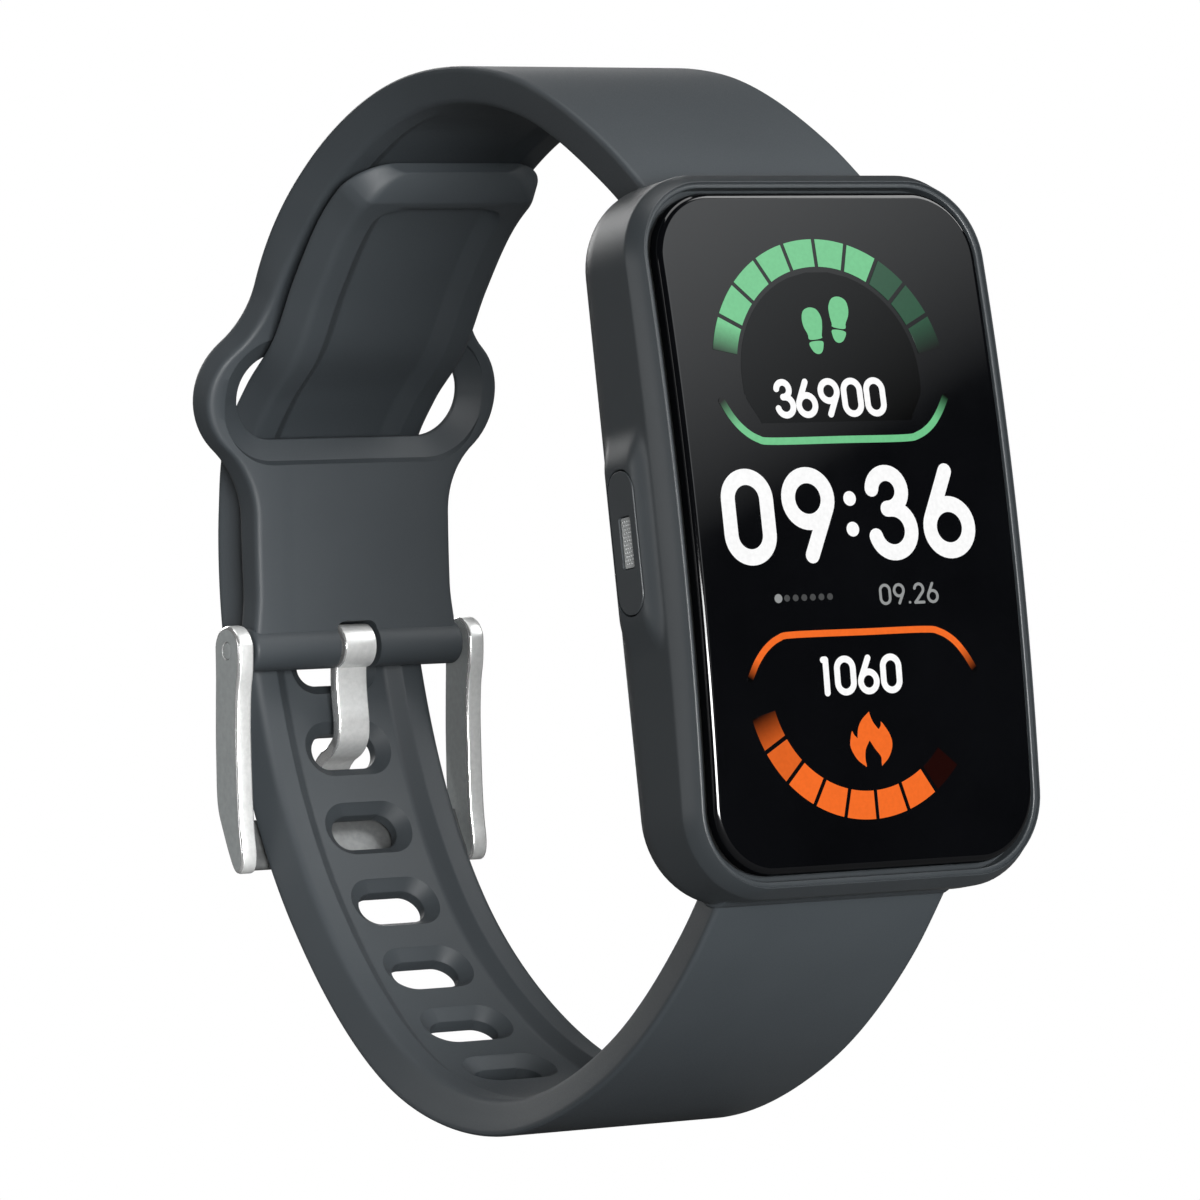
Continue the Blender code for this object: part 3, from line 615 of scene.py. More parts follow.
def upper_strap():
    stations = np.concatenate([
        np.linspace(0, S_KEEPER - 12, 90), np.linspace(S_KEEPER - 11.6, S_KEEPER + 11.6, 66),
        np.linspace(S_KEEPER + 12, UPPER.length, 12),
    ])
    sections = []
    for s in stations:
        thickness, channel = upper_levels(s)
        sections.append(strap_section(UPPER, s, upper_width(s), thickness, channel, upper_slope(s)))
    eye, eye_bore, eye_slot = strap_eye(1)
    half = BARREL_WIDTH / 2
    thickness, _ = upper_levels(S_KEEPER)
    face = thickness / 2
    levels = [
        (-2.2, 1.5), (-face - 0.05, 1.12), (-face + 0.02, 1.02), (-face + 0.10, 0.94), (-0.25, 0.06),
        (-0.15, 0.0), (0.15, 0.0), (0.25, 0.06), (face - 0.10, 0.94), (face - 0.02, 1.02),
        (face + 0.05, 1.12), (2.2, 1.5),
    ]
    notch = rounded_corners(
        [(NOTCH_HALF, NOTCH_TOP), (NOTCH_HALF, -3), (-NOTCH_HALF, -3), (-NOTCH_HALF, NOTCH_TOP)],
        [0.75, 0.1, 0.1, 0.75], 8)
    notch = loft([[(x, y, PIVOT[1] + z) for x, z in notch] for y in (PIVOT[0] - 3, PIVOT[0] + 3)])
    strap = carve("strap_upper_soft", loft(sections), [
        eye,
        ("UNION", rounded_bar(BARREL_RADIUS, -half, half, PIVOT, 0.3)),
        eye_bore, eye_slot,
        ("DIFFERENCE", bar(PIN_BORE, -12, 12, PIVOT)),
        ("DIFFERENCE", notch),
        ("DIFFERENCE", funnel(UPPER, S_KEEPER, KEEPER_NECK, KEEPER_FACE, levels)),
    ])
    strap.data.materials.append(SILICONE)
    finish_piece(strap, "root", ["strap_upper"])


def lower_strap():
    # The sections crowd together at the tip, where the channel ends and the corners round off.
    tip = LOWER.length - np.array([
        4.6, 4.2, 3.9, 3.7, 3.5, 3.3, 3.1, 3.0, 2.9, 2.8, 2.5, 2.2, 2.0, 1.9, 1.8, 1.6, 1.35, 1.1, 0.85,
        0.62, 0.42, 0.25, 0.12, 0.04,
    ])
    stations = np.concatenate([np.linspace(0, LOWER.length - 5.0, 210), tip])
    sections = []
    end = LOWER.length - TIP_SLOPE - 0.8
    for s in stations:
        thickness, channel = lower_levels(s)
        channel *= 1 - smooth_step(s, end - 0.35, end)
        into = max(s - LOWER.length + TIP_SLOPE, 0) / TIP_SLOPE
        drop = (thickness - TIP_EDGE) * (into * into * 0.45 + 0.55 * into)
        shrink = 0.0
        if s < end + 0.3:
            shrink = rounded_end(s, end, 1.7) * (1 - smooth_step(s, end, end + 0.3))
        sections.append(strap_section(
            LOWER, s, lower_width(s), thickness, max(channel, 0.01), SIDE_SLOPE, drop, shrink))
    steps = list(strap_eye(-1))
    for k in range(HOLE_COUNT):
        s = S_HOLE + HOLE_PITCH * (1 - k)
        thickness, channel = lower_levels(s)
        face, back = channel - thickness / 2, thickness / 2
        levels = [
            (-2.4, 2.4), (face - 0.05, 1.13), (face + 0.02, 1.02), (face + 0.09, 0.93),
            (face + 0.62, 0.08), (face + 0.70, 0.0), (back - 0.12, 0.0), (back, 0.12), (2.2, 0.9),
        ]
        steps.append(("DIFFERENCE", funnel(LOWER, s, HOLE_NECK, HOLE_FACE, levels)))
    strap = carve("strap_lower_soft", loft(sections), steps)
    strap.data.materials.append(SILICONE)
    finish_piece(strap, "root", ["strap_lower"])


# Case, glass, button and back.

def boss_push(x, y, z):
    """How far the wall swells out round the button."""
    if x > 0:
        return 0.0
    side = smooth_step(-x, CASE_HALF[0] - 0.55, CASE_HALF[0] - 0.05)
    ends = 1 - smooth_step(abs(z), 4.3, 7.0)
    depth = smooth_step(y, 1.95, 3.35) * (1 - smooth_step(y, 5.8, 7.2))
    return (BOSS_FACE - CASE_HALF[0]) * side * ends * depth


def button_prism(near, far, gap):
    ring = rounded_rectangle(BUTTON_HALF[0] + gap, BUTTON_HALF[1] + gap, BUTTON_CORNER + gap, 12, 1)
    return loft([[(-x, BUTTON_Y + y, z) for y, z in ring] for x in (near, far)])


def flipped(bm):
    bm.transform(Matrix.Scale(-1, 4, (0, 0, 1)))
    return bm


def case_shell():
    half_x, half_z = CASE_HALF

    def level(y, less, share):
        return (y, half_x - less, half_z - less, CASE_CORNER - less, share)

    wall = [2.2, 2.3, 2.42, 2.56, 2.7, 2.9, 3.2, 3.6, 4.0, 4.4, 4.8, 5.2, 5.6, 5.8]
    levels = [
        level(1.5, 0.97, 1.0), level(0.62, 0.97, 1.0), level(0.55, 0.94, 1.0), level(0.52, 0.89, 1.0),
        level(0.52, 0.74, 1.0), level(0.55, 0.70, 1.0), level(0.55, 0.66, 1.0), level(0.42, 0.645, 1.0),
        level(0.37, 0.60, 1.0), level(0.37, 0.565, 1.0), level(0.41, 0.53, 1.0), level(1.0, 0.30, 0.88),
        level(1.75, 0.035, 0.68), level(1.95, 0.005, 0.6), level(2.08, 0.0, 0.55),
    ]
    levels += [level(y, 0.0, 0.55 * max(0, 1 - (y - 2.1) / 3.9)) for y in wall]
    levels += [
        level(6.0, 0.0, 0.0), level(6.35, 0.015, 0.0), level(6.7, 0.08, 0.0), level(7.0, 0.18, 0.0),
        level(7.3, 0.33, 0.0), level(7.6, 0.52, 0.0), level(7.9, 0.75, 0.0), level(8.2, 1.02, 0.0),
        level(FRAME_BACK, 1.25, 0.0),
    ]
    steps = [
        ("DIFFERENCE", slab(1.0, 2.6, 10.8, 19.2, 3.2, 1.0, side=12)),
        ("DIFFERENCE", slab(1.2, 9.0, *CAVITY_HALF, 2.4, side=1)),
    ]
    for end in (1, -1):
        pocket = box((-LUG_INNER, POCKET_FRONT, POCKET_EDGE), (LUG_INNER, 12, 26))
        steps.append(("DIFFERENCE", pocket if end > 0 else flipped(pocket)))
        reach = LUG_INNER + LUG_HOLE_DEPTH
        steps.append(("DIFFERENCE", bar(LUG_HOLE_RADIUS, -reach, reach, (BAR_Y, end * BAR_Z), 24)))
    steps.append(("DIFFERENCE", button_prism(10.5, 15.0, KEY_GAP)))
    shell = carve("case_shell", stack(levels, arc=18, side=110, push=boss_push), steps, 38)
    shell.data.materials.append(CASE)
    finish_piece(shell, "root", ["case_frame"])


def lens():
    def level(y, less):
        return (y, GLASS_HALF[0] - less, GLASS_HALF[1] - less, GLASS_CORNER - less, 1.0)

    levels = [level(0.0, 0.42)]
    for k in range(1, 9):
        angle = math.pi / 2 * k / 8
        levels.append(level(0.30 - 0.30 * math.cos(angle), 0.05 + 0.37 * (1 - math.sin(angle))))
    levels += [level(0.45, 0.0), level(0.9, 0.0)]
    piece("cover_lens", stack(levels, arc=18, side=90), GLASS, replaces=["front_lens"],
          angle=60)


def side_key():
    half_y, half_z = BUTTON_HALF

    def ring(x, less):
        outline = rounded_rectangle(half_y - less, half_z - less, BUTTON_CORNER - less, 12, 1)
        return [(-x, BUTTON_Y + y, z) for y, z in outline]

    sections = [ring(KEY_ROOT, 0.0), ring(BUTTON_FACE - KEY_EDGE, 0.0)]
    for k in range(1, 6):
        angle = math.pi / 2 * k / 5
        sections.append(ring(
            BUTTON_FACE - KEY_EDGE * (1 - math.sin(angle)), KEY_EDGE * (1 - math.cos(angle))))

    def grip_prism(gap, corner, near, far):
        outline = rounded_rectangle(GRIP_HALF[0] + gap, GRIP_HALF[1] + gap, corner, 6, 1)
        return loft([[(-x, GRIP_Y + y, z) for y, z in outline] for x in (near, far)])

    key = carve("key_cap", loft(sections), [
        ("UNION", bar(PLUNGER_RADIUS, *PLUNGER_ENDS, (BUTTON_Y, 0), 24)),
        ("DIFFERENCE", grip_prism(GRIP_GAP, 0.2, BUTTON_FACE - GRIP_DEPTH, 15)),
    ])
    key.data.materials.append(BUTTON)
    finish_piece(key, "button", ["side_button"])
    bm = grip_prism(0, 0.14, BUTTON_FACE - 0.3, BUTTON_FACE - 0.12)
    for row in range(12):
        for column in range(4):
            y = GRIP_Y + (column - 1.5) * DOT_PITCH[0] + (0.06 if row % 2 else -0.06)
            place = Matrix.Translation((0.13 - BUTTON_FACE, y, (row - 5.5) * DOT_PITCH[1]))
            bmesh.ops.create_icosphere(bm, subdivisions=1, radius=DOT_RADIUS, matrix=place)
    piece("key_grip", bm, KEY_GRIP, "button", ["button_inlay"])


def back():
    outline = [
        (COVER_FRONT, 11.4, 17.0, 4.0), (8.95, 11.25, 16.85, 3.95), (9.2, 11.0, 16.6, 3.8),
        (9.45, 10.5, 16.05, 3.7), (9.7, 9.9, 15.4, 3.6), (9.85, 9.2, 14.0, 3.8), (10.1, 7.9, 11.2, 4.2),
        (10.45, 7.35, 10.2, 4.3), (10.7, 7.1, 9.6, 4.4), (10.84, 6.95, 9.35, 4.4), (10.9, 6.8, 9.1, 4.35),
    ]
    inside = stack([
        (8.0, 10.3, 15.8, 3.0, 0.0), (9.0, 10.1, 15.6, 3.0, 0.0), (9.3, 6.6, 9.0, 3.4, 0.0),
        (9.9, 6.2, 8.4, 3.4, 0.0),
    ], side=2)
    steps = [
        ("DIFFERENCE", inside), ("DIFFERENCE", slab(10.2, 12, 5.3, 7.3, 3.8, side=2)),
        ("DIFFERENCE", slab(9, 12, 4.4, 6.4, 3.0, side=2)),
    ]
    for x in (-CONTACT_X, CONTACT_X):
        ring = circle((x, CONTACT_Z), CONTACT_HOLE, 32)
        steps.append(("DIFFERENCE", loft([[(a, y, b) for a, b in ring] for y in (8, 12)])))
    levels = [(y, x, z, corner, 0.0) for y, x, z, corner in outline]
    cover = carve("back_shell", stack(levels, arc=12, side=2), steps)
    cover.data.materials.append(COVER)
    finish_piece(cover, "root", ["back_cover"])
    window = stack([
        (10.45, 5.0, 7.0, 3.5, 0.0), (10.82, 5.0, 7.0, 3.5, 0.0), (10.9, 4.96, 6.96, 3.46, 0.0),
        (10.95, 4.86, 6.86, 3.36, 0.0),
    ], side=1)
    piece("sensor_lens", window, WINDOW, replaces=["sensor_window"])


# Buckle.

def spline(p0, p1, p2, p3, count):
    """Points from p1 towards p2 on a Catmull-Rom spline."""
    return [
        0.5 * (2 * p1 + (p2 - p0) * u + (2 * p0 - 5 * p1 + 4 * p2 - p3) * u * u
               + (3 * p1 - p0 - 3 * p2 + p3) * u**3)
        for u in np.linspace(0, 1, count, endpoint=False)
    ]


def evenly(dense, count, closed):
    """count evenly spaced points along a path."""
    dense = np.array(dense)
    s = np.concatenate([[0], np.cumsum(np.linalg.norm(np.diff(dense, axis=0), axis=1))])
    wanted = np.linspace(0, s[-1], count, endpoint=not closed)
    return np.stack([np.interp(wanted, s, dense[:, k]) for k in (0, 1)], 1)


def smooth_outline(points, count):
    """A closed smooth outline through points."""
    knots = np.array(points, float)
    n = len(knots)
    dense = []
    for k in range(n):
        dense += spline(knots[k - 1], knots[k], knots[(k + 1) % n], knots[(k + 2) % n], 24)
    return evenly(dense + dense[:1], count, True)


def curve_through(points, count=60):
    """An open smooth path through points."""
    knots = np.array(points, float)
    extended = np.vstack([2 * knots[0] - knots[1], knots, 2 * knots[-1] - knots[-2]])
    dense = []
    for k in range(len(knots) - 1):
        dense += spline(*extended[k:k + 4], 20)
    return evenly(dense + [knots[-1]], count, False)


def inset(points, distance):
    """A closed outline moved inwards."""
    ahead, behind = np.roll(points, -1, axis=0), np.roll(points, 1, axis=0)
    way = ahead - behind
    way /= np.linalg.norm(way, axis=1)[:, None]
    area = 0.5 * np.sum(points[:, 0] * ahead[:, 1] - ahead[:, 0] * points[:, 1])
    normal = np.stack([-way[:, 1], way[:, 0]], 1) * (1 if area > 0 else -1)
    return points + normal * distance


def plate_sections(outline, x0, x1, edge, steps=4):
    """Sections through X of a flat plate with rounded edges."""
    angles = [math.pi / 2 * k / steps for k in range(steps + 1)]
    curve = [(edge * (1 - math.cos(a)), edge * (1 - math.sin(a))) for a in angles]
    sections = [(x0 + out, less) for out, less in curve]
    sections += [(x1 - out, less) for out, less in reversed(curve)]
    return [[(x, y, z) for y, z in inset(outline, less)] for x, less in sections]


ARM_OUTLINE = arc(PIVOT, 1.65, 0, 180, 10) + [
    (58.35, -0.9), (58.9, -2.4), (59.4, -4.6), (59.75, -7.0), (60.05, -9.4), (60.2, -11.4),
    (60.2, -12.8), (60.45, -13.7), (61.0, -14.1), (61.6, -13.8), (62.1, -12.7), (62.55, -11.3),
    (62.95, -9.8), (62.95, -8.5), (62.7, -6.8), (62.4, -4.9), (61.95, -2.6), (61.6, -0.9),
]
CROSSBAR = [
    (61.95, -11.0), (62.15, -10.5), (62.5, -10.6), (62.6, -11.2), (62.25, -12.5),
    (61.7, -13.7), (61.25, -13.9), (61.0, -13.5), (61.5, -12.3),
]
PRONG_ROUTE = [
    (60.2, -0.6), (60.4, -1.6), (60.5, -3.0), (60.55, -4.4), (60.85, -5.5), (61.7, -6.15),
    (62.8, -6.5), (63.8, -7.2), (64.15, -9.0), (63.95, -11.4), (63.55, -13.3),
]


def sideways(face):
    """How squarely a face points along X, from 0 to 1."""
    turn = TO_FRAME.to_3x3().normalized().inverted()
    return abs((turn @ face.normal).x)


def buckle():
    """The arms' edges are polished and their flat sides brushed, with painted shade darkening the sides,
    and the crossbar between them is painted dark as painted shade.
    """
    outline = smooth_outline(ARM_OUTLINE, 140)
    cross = smooth_outline(CROSSBAR, 60)
    crossbar = loft([[(x, y, z) for y, z in cross] for x in (-ARM_INNER - 0.5, ARM_INNER + 0.5)])
    bow = carve("buckle_bow", loft(plate_sections(outline, ARM_INNER, ARM_OUTER, ARM_EDGE)), [
        ("UNION", crossbar),
        ("UNION", loft(plate_sections(outline, -ARM_OUTER, -ARM_INNER, ARM_EDGE))),
        ("DIFFERENCE", bar(PIN_RADIUS + 0.06, -12, 12, PIVOT)),
    ], 38)
    steels = [STEEL, PAINTED_SHADE_SIDE_STEEL, POLISHED, SHADED_STEEL]
    for each in steels:
        bow.data.materials.append(each)
    back_way = TO_FRAME.inverted()
    for face in bow.data.polygons:
        across = sideways(face)
        # Faces between the arms take the crossbar steel, darkened as painted shade.
        if abs((back_way @ face.center).x) < ARM_INNER - 0.01:
            face.material_index = steels.index(SHADED_STEEL)
        # Faces pointing squarely sideways take the side steel, darkened as painted shade.
        elif across > 0.985:
            face.material_index = steels.index(PAINTED_SHADE_SIDE_STEEL)
        elif across > 0.3:
            face.material_index = steels.index(POLISHED)
    finish_piece(bow, "buckle", ["buckle_frame"])
    pin = rounded_bar(PIN_RADIUS, -ARM_OUTER + 0.02, ARM_OUTER - 0.02, PIVOT, 0.06, 48)
    # The pin takes the side steel too, with the same painted shade.
    piece("pivot_pin", pin, PAINTED_SHADE_SIDE_STEEL, replaces=["buckle_pin"])


def prong():
    """A curl round the pin and a blade that bends into the hole, with polished edges."""
    route = Route(PRONG_ROUTE, -1)
    sections = []
    for s in np.linspace(0, route.length, 90):
        tip = rounded_end(s, route.length, 0.9)
        half, thick = PRONG_HALF - 0.02 - tip, 0.43 - 0.2 * tip
        corners = [(half, thick), (half, -thick), (-half, -thick), (-half, thick)]
        outline = rounded_corners(corners, [PRONG_EDGE] * 4, 4, [1, 6, 1, 6])
        sections.append([route.place(s, x, 0, out) for x, out in outline])
    curl = rounded_bar(BARREL_RADIUS, -PRONG_HALF, PRONG_HALF, PIVOT, 0.16, 72)
    blade = carve("prong_blade", curl, [
        ("UNION", loft(sections)),
        ("DIFFERENCE", bar(PIN_BORE, -5, 5, PIVOT)),
    ], 38)
    for each in (STEEL, POLISHED):
        blade.data.materials.append(each)
    for face in blade.data.polygons:
        face.material_index = int(sideways(face) > 0.25)
    finish_piece(blade, "prong", ["buckle_prong"])


# The lit display. Marks are flat outlines (x, z) laid on the glass.

# A mark is a plate from GLASS_GAP to its lift above the glass.
GLASS_GAP = 0.004
MARK_LIFT = 0.03
GLOW_LIFT = 0.012


def lay(name, faces, material, lift=MARK_LIFT):
    """A thin plate on the glass from 2-D faces, each a list of (x, z)."""
    bm = bmesh.new()
    index = {}

    def vert(point, out):
        key = (round(point[0], 4), round(point[1], 4), out)
        if key not in index:
            index[key] = bm.verts.new((point[0], sag(point[1]) - out, point[1]))
        return index[key]

    edges = set()
    for face in faces:
        rounded = [(round(p[0], 4), round(p[1], 4)) for p in face]
        edges.update(zip(rounded, rounded[1:] + rounded[:1]))
        bm.faces.new([vert(p, lift) for p in face])
        bm.faces.new([vert(p, GLASS_GAP) for p in reversed(face)])
    for p, q in sorted(edges):
        if (q, p) not in edges:
            bm.faces.new([vert(p, GLASS_GAP), vert(q, GLASS_GAP), vert(q, lift), vert(p, lift)])
    return piece(name, bm, material, weighted=False)


def ribbon(points, width, closed=False, taper=0.0):
    """Faces of a round-ended stroke along a 2-D path."""
    path = np.array(points, float)
    ahead = np.roll(path, -1, axis=0) if closed else np.vstack([path[1:], path[-1:]])
    behind = np.roll(path, 1, axis=0) if closed else np.vstack([path[:1], path[:-1]])
    way = ahead - behind
    way /= np.linalg.norm(way, axis=1)[:, None]
    normal = np.stack([-way[:, 1], way[:, 0]], 1)
    share = np.linspace(-1, 1, len(path))
    half = width / 2 * (1 - taper * np.abs(share) ** 6)
    left, right = path + normal * half[:, None], path - normal * half[:, None]
    count = len(path)
    faces = []
    for k in range(count if closed else count - 1):
        m = (k + 1) % count
        faces.append([tuple(left[k]), tuple(right[k]), tuple(right[m]), tuple(left[m])])
    if not closed:
        for tip, sign in ((0, 1), (count - 1, -1)):
            spokes = [
                path[tip] + sign * half[tip] * (math.cos(a) * normal[tip] - math.sin(a) * way[tip])
                for a in np.linspace(0, math.pi, 9)
            ]
            faces.append([tuple(p) for p in spokes])
    return faces


def digit(glyph, width, height, stroke):
    """Strokes of a figure (0, 1, 2, 3, 6 or 9) about the origin, as (path, closed) pairs."""
    a, b = (width - stroke) / 2, (height - stroke) / 2
    if glyph == "0":
        return [(arc((0, b - a), a, 0, 180) + arc((0, a - b), a, 180, 360), True)]
    if glyph in "69":
        loop = arc((0, b - a), a, 0, 360, 40)[:-1]
        foot = np.array([-0.02 * width, -b])
        centre = np.array([0.0, b - a])
        way = foot - centre
        span = np.linalg.norm(way)
        turn = math.acos(a / span) + math.atan2(way[1], way[0])
        touch = centre + a * np.array([math.cos(turn), math.sin(turn)])
        tail = [tuple(touch + (foot - touch) * u) for u in np.linspace(0, 1, 8)]
        strokes = [(loop, True), (tail, False)]
        if glyph == "6":
            strokes = [([(-x, -z) for x, z in path], closed) for path, closed in strokes]
        return strokes
    if glyph == "3":
        small, large = 0.45 * b, 0.55 * b
        top, low = (-0.03 * width, b - small), (0.03 * width, large - b)
        upper = arc(top, small, 172, -90, 26)
        lower = [(top[0] - 0.02 * width, b - 2 * small)] + arc(low, large, 90, -166, 26)
        return [(upper, False), (lower, False)]
    if glyph == "1":
        flag = [(-0.62 * a, b), (-0.3 * a, b), (0.0, b)]
        return [(flag, False), ([(0.0, b - z) for z in np.linspace(0, 2 * b, 8)], False)]
    upper = arc((0, b - a), a, 170, -35, 20)
    start, foot = np.array(upper[-1]), np.array((-a, -b))
    diagonal = [tuple(start + (foot - start) * u) for u in np.linspace(0, 1, 8)]
    return [(upper + diagonal[1:], False), ([(x, -b) for x in np.linspace(-a, a, 6)], False)]


def figures(name, text, middle, height, stroke, widths, pitch_gap, material):
    """A row of figures, centred on middle."""
    advance = [widths.get(c, widths["0"]) for c in text]
    total = sum(advance) + pitch_gap * (len(text) - 1)
    x = middle[0] - total / 2
    for k, (glyph, width) in enumerate(zip(text, advance)):
        at = (x + width / 2, middle[1])
        if glyph in ":.":
            rows = (0.16 * height, -0.16 * height) if glyph == ":" else (-height / 2 + stroke * 0.62,)
            strokes = [circle((at[0], at[1] + row), stroke * 0.46, 24) for row in rows]
            lay(f"{name}_{k}", strokes, material)
        else:
            for part, (path, closed) in enumerate(digit(glyph, width, height, stroke)):
                moved = [(at[0] + px, at[1] + pz) for px, pz in path]
                lay(f"{name}_{k}_{part}", ribbon(moved, stroke, closed), material)
        x += width + pitch_gap


def gauge(name, middle, radii, start, pitch, count, gap, paint):
    """Ring segments from start, each pitch degrees on."""
    side = 1 if pitch > 0 else -1
    for k in range(count):
        edges = []
        for radius in radii:
            trim = math.degrees(gap / 2 / radius) * side
            low, high = start + k * pitch + trim, start + (k + 1) * pitch - trim
            edges.append(arc(middle, radius, low, high, 8))
        inside, outside = edges
        faces = [[inside[m], inside[m + 1], outside[m + 1], outside[m]] for m in range(8)]
        lay(f"{name}_{k}", faces, paint[k])


GREEN = (0.165, 0.56, 0.26)
ORANGE = (0.92, 0.155, 0.021)
DIM_GREEN = (0.013, 0.078, 0.036)
RING_X = -0.43
RING_Z = 9.1
RING = (6.75, 8.45)
SEGMENT = 15.85


def on_ring(sign, degrees, radius=7.6):
    angle = math.radians(degrees)
    return (RING_X + radius * math.cos(angle), sign * RING_Z + radius * math.sin(angle))


BOW = [
    (-8.55, 7.75), (-7.95, 6.75), (-7.2, 5.95), (-6.3, 5.42), (-5.2, 5.25), (0.0, 5.25), (4.3, 5.25),
    (5.4, 5.42), (6.35, 5.95), (7.1, 6.75), (7.75, 7.75),
]
SOLE = [
    (0.0, 1.0), (0.42, 0.82), (0.62, 0.3), (0.56, -0.25), (0.42, -0.75), (0.36, -0.95), (-0.38, -0.95),
    (-0.44, -0.6), (-0.6, -0.1), (-0.6, 0.4), (-0.42, 0.84),
]
HEEL = [(-0.42, -1.12), (0.36, -1.12), (0.38, -1.45), (0.2, -1.8), (-0.08, -1.86), (-0.34, -1.62)]
FEET = {"left": ((-1.28, 12.35), 5, 1), "right": ((0.72, 13.0), -9, -1)}
FLAME = [
    ([(-0.62, -14.42), (-1.25, -13.95), (-1.68, -13.2), (-1.62, -12.55), (-1.52, -12.25)], 14),
    ([(-1.38, -12.5), (-1.14, -12.72)], 4),
    ([(-1.13, -12.6), (-1.05, -12.1), (-0.75, -11.6), (-0.2, -11.15)], 12),
    ([(-0.17, -11.3), (0.02, -11.75), (0.38, -12.2)], 8),
    ([(0.46, -12.2), (0.6, -12.0), (0.62, -11.78)], 6),
    ([(0.75, -11.9), (1.2, -12.55), (1.34, -13.2), (1.05, -13.9), (0.52, -14.4)], 18),
    ([(0.5, -14.2), (0.48, -13.85), (0.1, -13.4), (-0.28, -12.85)], 12),
    ([(-0.36, -12.95), (-0.62, -13.4), (-0.68, -13.95), (-0.62, -14.3)], 12),
]
DATE_ROW = -4.18
DOME_RADIUS = 6.45


def fading_bow(name, tone, colour, points, width, solid, first):
    """A bowed line whose ends fade out. The fade at its start begins first points along."""
    path = curve_through(points, 120)
    fades = {0: (first, 0), 2: (108, -1)}
    for part, (low, high) in enumerate(((0, 17), (16, 104), (103, 120))):
        paint = solid
        if part in fades:
            fade = tuple(tuple(path[k]) for k in fades[part])
            paint = lit(f"{tone}_bow_end_{part}", colour, fade=fade)
        lay(f"{name}_{part}", ribbon(path[low:high], width), paint)


def footprints(paint):
    for name, (middle, lean, mirror) in FEET.items():
        c, n = math.cos(math.radians(lean)), math.sin(math.radians(lean))
        for part, outline in (("sole", SOLE), ("heel", HEEL)):
            shape = smooth_outline([(mirror * x, z) for x, z in outline], 48)
            shape = [(1.15 * x * c - z * n, 1.15 * x * n + z * c) for x, z in shape]
            shape = [(middle[0] + x, middle[1] + z) for x, z in shape]
            lay(f"{part}_{name}", [shape if mirror > 0 else shape[::-1]], paint)


def dome():
    """A faint glow inside the upper gauge, under the other marks: a painted reflection, brightest towards
    the upper left and fading down to the right, with a lower index that weakens the glass's own
    reflection there.
    """
    # This glow is painted reflection, fading from the upper left like the sheen on the glass.
    light = lit("dome_painted_reflection", (0.005, 0.006, 0.007), 1.0, ((-6.5, 15.0), (5.5, 6.5)), 1.33)
    rows = np.linspace(6.35, RING_Z + 6.4, 30)
    sides = []
    for z in rows:
        reach = math.sqrt(max(DOME_RADIUS**2 - max(z - RING_Z, 0) ** 2, 0))
        reach -= 1.1 * (1 - smooth_step(z, 5.9, 8.4))
        sides.append(((RING_X - reach, z), (RING_X + reach, z)))
    faces = [[one[0], one[1], two[1], two[0]] for one, two in zip(sides, sides[1:])]
    lay("dome_glow", faces, light, GLOW_LIFT)


def display():
    green, orange = lit("green_light", GREEN), lit("orange_light", ORANGE)
    white = lit("white_light", (1.0, 1.0, 1.0))
    grey = lit("grey_light", (0.30, 0.31, 0.31))
    faint = lit("faint_light", (0.07, 0.072, 0.073))
    dim = lit("dim_green_light", DIM_GREEN)
    green_fade = lit("green_fading", GREEN, fade=(on_ring(1, 155), on_ring(1, 169)))
    dim_fade = lit("dim_green_fading", DIM_GREEN, fade=(on_ring(1, 26), on_ring(1, 11)))
    paint = [green_fade] + [green] * 6 + [dim] * 2 + [dim_fade]
    gauge("step_gauge", (RING_X, RING_Z), RING, 168.7, -SEGMENT, 10, 0.27, paint)
    orange_fade = lit("orange_fading", ORANGE, fade=(on_ring(-1, -144), on_ring(-1, -166)))
    orange_half = lit("orange_half", tuple(0.82 * c for c in ORANGE))
    ember = lit("dim_orange_light", (0.012, 0.0008, 0.0002))
    paint = [orange_fade, orange_half] + [orange] * 5 + [ember]
    gauge("energy_gauge", (RING_X, -RING_Z), RING, -166.4, SEGMENT, 8, 0.27, paint)
    fading_bow("step_bow", "green", GREEN, BOW, 0.44, green, 12)
    fading_bow("energy_bow", "orange", ORANGE, [(x + 0.02, -z - 1.12) for x, z in BOW], 0.40, orange, 8)

    widths = {"0": 3.7, "9": 3.8, "3": 3.45, "6": 3.8, ":": 1.0}
    figures("clock", "09:36", (-0.32, 0.74), 5.8, 0.97, widths, 0.62, white)
    widths = {"0": 1.56, "3": 1.42, "6": 1.58, "9": 1.58}
    figures("steps", "36900", (-0.72, 7.8), 2.4, 0.40, widths, 0.1, white)
    widths = {"0": 1.55, "1": 0.95, "6": 1.55}
    figures("energy", "1060", (-0.57, -8.93), 2.38, 0.40, widths, 0.12, white)
    widths = {"0": 0.85, ".": 0.3, "2": 0.8, "6": 0.85, "9": 0.85}
    figures("date", "09.26", (3.43, DATE_ROW), 1.28, 0.17, widths, 0.17, grey)
    for k in range(7):
        dot = circle((-6.05 + 0.62 * k, DATE_ROW), 0.2 if k else 0.27, 20)
        lay(f"week_dot_{k}", [dot], faint if k else grey)
    footprints(green)
    flame = np.vstack([curve_through(points, count) for points, count in FLAME])
    lay("flame", [[tuple(p) for p in flame[::-1]]], orange)
    dome()


# The rest of the CAD nodes keep their shape and get real finishes.

